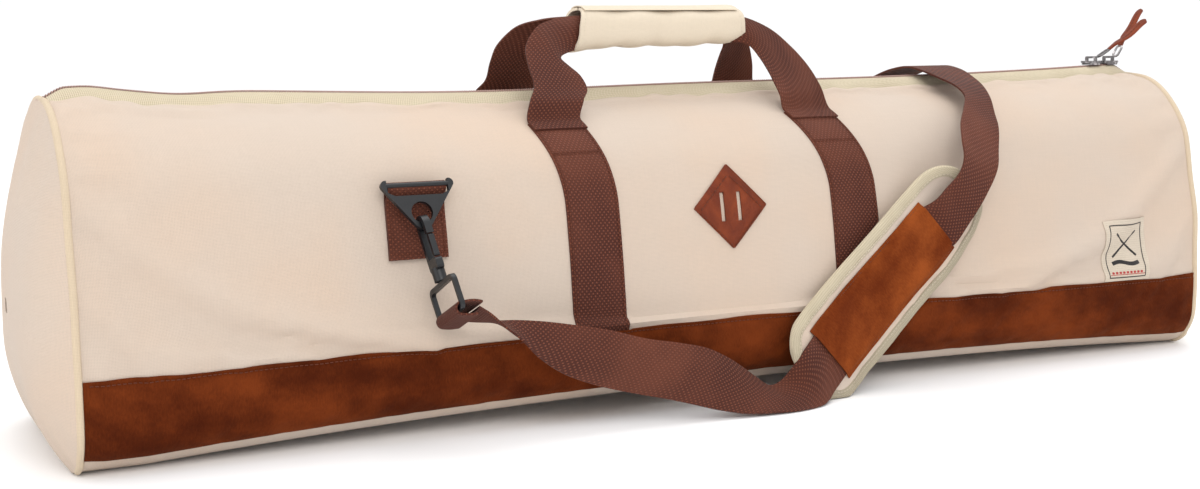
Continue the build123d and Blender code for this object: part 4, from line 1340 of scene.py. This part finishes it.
FRONT_RUN = mm(
    (-262, -134, 101, -262, -174, 119),
    (-250, -139, 100, -250, -170, 111),
    (-237, -146, 100, -238, -168, 100),
    (-220, -150, 100, -222, -167, 87),
    (-199, -153, 98, -209, -167, 73),
    (-176, -154, 94, -189, -165, 58),
    (-142, -155, 87, -156, -164, 43),
    (-101, -155, 75, -113, -163, 30),
    (-72, -155, 69, -86, -164, 23),
    (-45, -154, 62, -62, -165, 16),
    (-22, -150, 51, -38, -167, 9),
    (-3, -146, 39, -12, -171, 4),
    (14, -142, 27, 16, -174, 2.5),
    (29, -141, 18, 44, -173, 1.6),
    (42, -140, 22, 70, -166, 1.8),
)
OVER_RIDGE = mm(
    (211, -130, 171, 236, -132, 130),
    (223, -136, 185, 249, -136, 149),
    (234, -140, 199, 265, -139, 174),
    (241, -137, 213, 280, -137, 199),
    (246, -127, 228, 289, -127, 217),
    (255, -113, 243, 299, -114, 236),
    (270, -98, 256, 306, -99, 249),
    (283, -82, 266, 313, -84, 262),
    (286, -64, 274, 320, -65, 272),
    (283, -42, 281, 326, -42, 280),
    (279, -18, 287.5, 328, -18, 287.5),
    (276, 0, 290.5, 325, 0, 290.5),
    (272, 20, 287.5, 321, 20, 287.5),
    (267, 44, 279, 315, 45, 278),
    (259, 70, 263, 307, 72, 260),
    (251, 94, 234, 299, 96, 232),
    (244, 108, 195, 292, 108, 194),
    (240, 114, 163, 288, 114, 163),
    (240, 116.8, 142, 288, 116.8, 142),
    (240, 117.6, 134, 288, 117.6, 134),
    (240, 121.5, 127.5, 288, 121.5, 127.5),
    (240, 124.9, 120, 288, 124.9, 120),
    (240, 122.8, 112.5, 288, 122.8, 112.5),
    (240, 120.8, 106.5, 288, 120.8, 106.5),
    (240, 122.4, 98, 288, 122.4, 98),
    (240, 126, 72, 288, 127, 70),
    (242, 129, 45, 288, 132, 40),
    (246, 134, 20, 285, 145, 10),
    (258, 142, 8, 286, 166, 2.5),
    (278, 146, 12, 302, 178, 2.5),
    (303, 148, 26, 322, 176, 6),
    (330, 149, 45, 340, 170, 12),
    (355, 148, 66, 358, 166, 26),
    (378, 144, 86, 377, 167, 50),
    (396, 138, 98, 395, 171, 85),
    (410, 132, 102, 410, 176, 119),
)
lower_run = np.concatenate([FRONT_RUN, [pad_station(a) for a in (-0.112, -0.09, -0.05, 0.0)]])
upper_run = np.concatenate([[pad_station(a) for a in (0.001, 0.045, 0.07)], OVER_RIDGE])
STRAPS = {
    "front": (lower_run, ("shoulder_strap_lower", "shoulder_strap_ends", "shoulder_strap_in_pad")),
    "back": (upper_run, (
        "shoulder_strap_upper", "shoulder_strap_crossing", "shoulder_strap_back", "shoulder_strap_back_lower",
    )),
}


def hook_share(word, places):
    """How much of the strap follows its hook: all at the eye, none at the floor."""
    x, z = places[:, 0], places[:, 2]
    if word == "front":
        return 1 - soft_step(x, -0.262, -0.06)
    return soft_step(x, 0.295, 0.405) * (z < 0.14)


for word, (edges, stands_for) in STRAPS.items():
    name, rows = f"shoulder_strap_{word}_webbing", 24 * len(edges)
    strap = ribbon(name, edges, WEB_T, "webbing", across=11, rows=rows)
    middle = (edges[:, :3] + edges[:, 3:]) / 2
    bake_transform(strap)
    share_out(strap, lambda places: hook_share(word, places))
    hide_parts(*stands_for)

# %% The strap's ends, doubled round the eyes
EYE_BARS = {"front": (-0.2775, -0.1546, 0.1105), "back": (0.4195, 0.1546, 0.1105)}
TURN = [                                           # away from the bar, and above it
    (0.018, 0.0040), (0.014, 0.0050), (0.004, 0.0052), (-0.0035, 0.0034),
    (-0.0048, 0.0), (-0.0030, -0.0038), (0.004, -0.0056), (0.014, -0.0055),
]
for word, first in (("front", lower_run[0]), ("back", upper_run[-1])):
    bar, inner, outer = np.array(EYE_BARS[word]), first[:3], first[3:]
    width = unit(outer - inner) * 0.0232
    slope = (inner + outer) / 2 - bar
    slope = slope / abs(slope[0])
    stations = []
    for reach, height in TURN:
        centre = bar + slope * reach + np.array([0, 0, height])
        stations.append(np.concatenate([centre - width, centre + width]))
    end = ribbon(f"strap_end_{word}_webbing", stations, WEB_T, "webbing", rows=70)
    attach(end, f"eye_{word}")


# %% [markdown]
# ## The shoulder pad
# A foam core covered in canvas, bound with ribbed tape, with a suede patch under which the
# strap slides. Its outline is a long rounded rectangle. Rings of that outline, stepping
# inward, give both faces, so the cloth crowns evenly from the bound edge.

# %% Pad body
PAD_HALF_L, PAD_HALF_W, PAD_CORNER = 0.125, 0.0445, 0.030
PAD_MID, PAD_EDGE, PAD_CROWN = 0.0042, 0.0009, 0.0029        # heights above the back face
PAD_POINTS = 168


def pad_outline(inset):
    """The pad's outline moved inward, as evenly spaced (along, across) pairs."""
    corner = max(PAD_CORNER - inset, 0.0006)
    shrink = max(inset - PAD_CORNER, 0.0)
    flat_l = PAD_HALF_L - PAD_CORNER - shrink
    flat_w = max(PAD_HALF_W - PAD_CORNER - shrink, 0)
    places = []
    for k, (sa, sb) in enumerate(((1, 1), (-1, 1), (-1, -1), (1, -1))):
        for t in np.arange(PAD_POINTS // 4) / (PAD_POINTS // 4):
            turn = (k + np.clip((t - 0.5) * 1.9 + 0.5, 0, 1)) * pi / 2
            places.append((sa * flat_l + corner * cos(turn), sb * flat_w + corner * sin(turn)))
    return even_ring(np.array(places), PAD_POINTS)


def pad_crown(inset):
    """How far the filling lifts the cloth at a distance in from the edge, 0 to 1."""
    return np.sqrt(np.clip(1 - (1 - min(max(inset, 0.0) / 0.011, 1.0)) ** 2, 0, 1))


def padded_rings(face):
    """Rings from the edge to the middle on one face: face 1 is out, -1 the back."""
    insets = np.concatenate([np.linspace(0, 0.012, 9), np.linspace(0.015, PAD_HALF_W - 0.0012, 12)])
    rings = []
    for inset in insets:
        ab = pad_outline(inset)
        crown = pad_crown(inset)
        quilt = 0.0007 * rumple(ab[:, 0], ab[:, 1], 5.0 + face, (40.0, 50.0)) * crown
        height = PAD_MID + face * (PAD_EDGE + PAD_CROWN * crown) + quilt
        rings.append(in_pad(ab[:, 0], ab[:, 1], height))
    return np.array(rings)


cover = np.concatenate([padded_rings(1)[::-1], padded_rings(-1)])
cover = np.concatenate([cover, cover[:, :1]], axis=1)
flat_uv = (cover - PAD_ORIGIN) @ np.stack([PAD_ALONG, PAD_UP], axis=-1)
faces = grid_faces(*cover.shape[:2]).tolist() + end_caps(*cover.shape[:2])
pad = make_object(
    "shoulder_pad_body", cover.reshape(-1, 3), faces, flat_uv.reshape(-1, 2), "canvas"
)
weld(pad)
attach(pad, "shoulder_pad")
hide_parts("shoulder_pad")
print("pad", round(PAD_HALF_L * 2000), "x", round(PAD_HALF_W * 2000), "mm")

# %% Pad binding
# inset from the edge, share of the face it lies on, and height above the cover
PROFILE = [
    (0.0095, 1, 0.0006), (0.006, 1, 0.0010), (0.003, 1, 0.0011), (0.0008, 1, 0.0011),
    (-0.0009, 0.4, 0.0),
]
PROFILE += [(inset, -face, proud) for inset, face, proud in PROFILE[::-1]]


def binding_ring(inset, face, proud, thin=0.0):
    ab = pad_outline(max(inset, 0.0))
    if inset < 0:
        ab = ab + unit(ab - pad_outline(0.004)) * (-inset)
    wavy = 0.0003 * np.sin(np.arange(len(ab)) * 0.9)
    over_edge = PAD_EDGE + PAD_CROWN * pad_crown(inset) + proud + wavy - thin
    height = PAD_MID + face * over_edge
    return in_pad(ab[:, 0], ab[:, 1], height)


outer = np.array([binding_ring(i, f, p) for i, f, p in PROFILE])
inner = np.array([binding_ring(i + 0.0007 * (i < 0), f, p, 0.0008) for i, f, p in PROFILE])
outer, inner = (np.concatenate([g, g[:, :1]], axis=1) for g in (outer, inner))
bind_uv = np.stack([lengths(outer, 1), lengths(outer, 0)], axis=-1)
binding = slab("shoulder_pad_binding", outer, inner, "grosgrain", cloth_uv=bind_uv)
weld(binding)
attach(binding, "shoulder_pad")


def pad_thread(a, b, height):
    """A line of stitching on the pad's outer face."""
    points = in_pad(a, b, height)
    return points, np.tile(PAD_OUT, (len(points), 1))


line = pad_outline(0.0078)
line = np.concatenate([line, line[:1]])
lines = [pad_thread(line[:, 0], line[:, 1], PAD_MID + PAD_EDGE + PAD_CROWN + 0.0010)]
sewing = stitches("shoulder_pad_sewing", lines, "thread_pale", pitch=0.0036)
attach(sewing, "shoulder_pad")

# %% Pad patch
HIDE_A, HIDE_HALF_B = (-0.0935, 0.0735), 0.0300
a = np.linspace(*HIDE_A, 70)[:, None]
b = np.linspace(-HIDE_HALF_B, HIDE_HALF_B, 27)[None, :]
rise = 0.0034 * (1 - soft_step(np.abs(b), 0.0215, 0.0295))
ends = 1 - soft_step(np.abs(a - np.mean(HIDE_A)), 0.065, 0.0835)
slack = 0.0014 * np.sin(a * 60.0) * rise / 0.0034 + 0.0008 * rumple(a, b, 9.0, (30.0, 30.0))
height = 0.0084 + rise * (1.0 + 0.12 * ends) + slack * ends
hide_top, hide_low = in_pad(a, b, height + 0.0012), in_pad(a, b, height)
hide = slab("shoulder_pad_hide", hide_top[:, ::-1], hide_low[:, ::-1], "suede")
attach(hide, "shoulder_pad")
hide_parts("shoulder_pad_patch")
a_line = np.linspace(HIDE_A[0] + 0.002, HIDE_A[1] - 0.002, 60)
lines = [pad_thread(a_line, sign * (HIDE_HALF_B - 0.0022), 0.0096) for sign in (-1, 1)]
sewing = stitches("shoulder_pad_hide_sewing", lines, "thread_brown", pitch=0.0036)
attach(sewing, "shoulder_pad")


# %% [markdown]
# ## Zip pulls
# Each slider's link holds a leather pull, cut from strap, skived at the neck and rounded
# at the tip, with a short line of stitching down its middle.

# %% Leather pulls
PULLS = {                                          # the link's place, along the pull, its face
    "left": [(0.5256, 0, 0.2964), (0.826313, -0.190769, 0.529919), (-0.516337, 0.119206, 0.848048)],
    "right": [(0.5496, 0, 0.2964), (0.626313, 0.144596, 0.766044), (-0.746411, -0.172323, 0.642788)],
}
PULL_START, PULL_END, PULL_W, PULL_HALF_T = 0.0150, 0.0680, 0.0088, 0.0013
for word, directions in PULLS.items():
    origin, out, up = np.array(directions, float)
    across = np.cross(up, out)
    t = np.linspace(0, 1, 46)[:, None]
    w = np.linspace(-1, 1, 9)[None, :]
    tip = np.sqrt(np.clip(1 - np.clip((t - 0.93) / 0.072, 0, 1) ** 2, 0.02, 1))
    neck = 0.62 + 0.38 * soft_step(t, 0.12, 0.24)
    start = 0.75 + 0.25 * soft_step(t, 0.0, 0.03)
    half = PULL_W / 2 * tip * neck * start
    reach = PULL_START + (PULL_END - PULL_START) * t
    bend = 0.0035 * t**2 * (1 if word == "left" else -1) + 0.0008 * np.sin(t * 9)
    twist = 0.35 * t * (1 if word == "left" else -0.6)
    level, rise = half * w * np.cos(twist), bend + half * w * np.sin(twist)
    core = origin + reach[..., None] * out + level[..., None] * across + rise[..., None] * up
    normal = grid_normals(core)
    thick = PULL_HALF_T * (1 - 0.45 * np.abs(w) ** 6)[..., None]
    pull = slab(f"pull_tab_{word}_leather", core - normal * thick, core + normal * thick, "leather")
    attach(pull, f"pull_{word}")
    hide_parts(f"pull_tab_{word}")
    middle, face = core[16:40, 4], normal[16:40, 4]
    lines = [(middle + turn * face * PULL_HALF_T, turn * face) for turn in (1, -1)]
    sewing = stitches(f"pull_tab_{word}_sewing", lines, "thread_brown", pitch=0.0034)
    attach(sewing, f"pull_{word}")


# %% [markdown]
# ## Floor and light
# The floor runs out so far that no horizon shows, and it and the sky are both near white.
# Large soft lamps give the even light of a product table, with a faint shadow underneath.

# %% Floor, sky and lamps
FAR = 300
floor_mesh = bpy.data.meshes.new("floor")
floor_corners = [(-FAR, -FAR, 0), (FAR, -FAR, 0), (FAR, FAR, 0), (-FAR, FAR, 0)]
floor_mesh.from_pydata(floor_corners, [], [(0, 1, 2, 3)])
floor = bpy.data.objects.new("floor", floor_mesh)
scene.collection.objects.link(floor)
pale = Finish("floor_paint", (0.95, 0.95, 0.955), 0.6, Specular_IOR_Level=0.2)
floor_mesh.materials.append(pale.material)

world = bpy.data.worlds.new("studio")
scene.world = world
world.use_nodes = True
sky = world.node_tree.nodes["Background"]
sky.inputs["Color"].default_value = (1.0, 1.0, 1.0, 1)
sky.inputs["Strength"].default_value = 1.08


def lamp(name, place, aim, size, power):
    light = bpy.data.lights.new(name, "AREA")
    light.shape, light.energy = "RECTANGLE", power
    light.size, light.size_y = size
    made = bpy.data.objects.new(name, light)
    made.location = place
    made.rotation_euler = (Vector(aim) - Vector(place)).to_track_quat("-Z", "Y").to_euler()
    scene.collection.objects.link(made)
    print("lamp", name, power, "W")


lamp("key", (-0.6, -2.2, 1.9), (0, 0, 0.15), (1.6, 1.2), 22)
lamp("top", (0.3, 0.3, 2.4), (0, 0, 0.1), (2.4, 1.6), 26)
lamp("left_fill", (-2.6, -0.4, 0.9), (-0.4, 0, 0.15), (1.2, 1.2), 8)
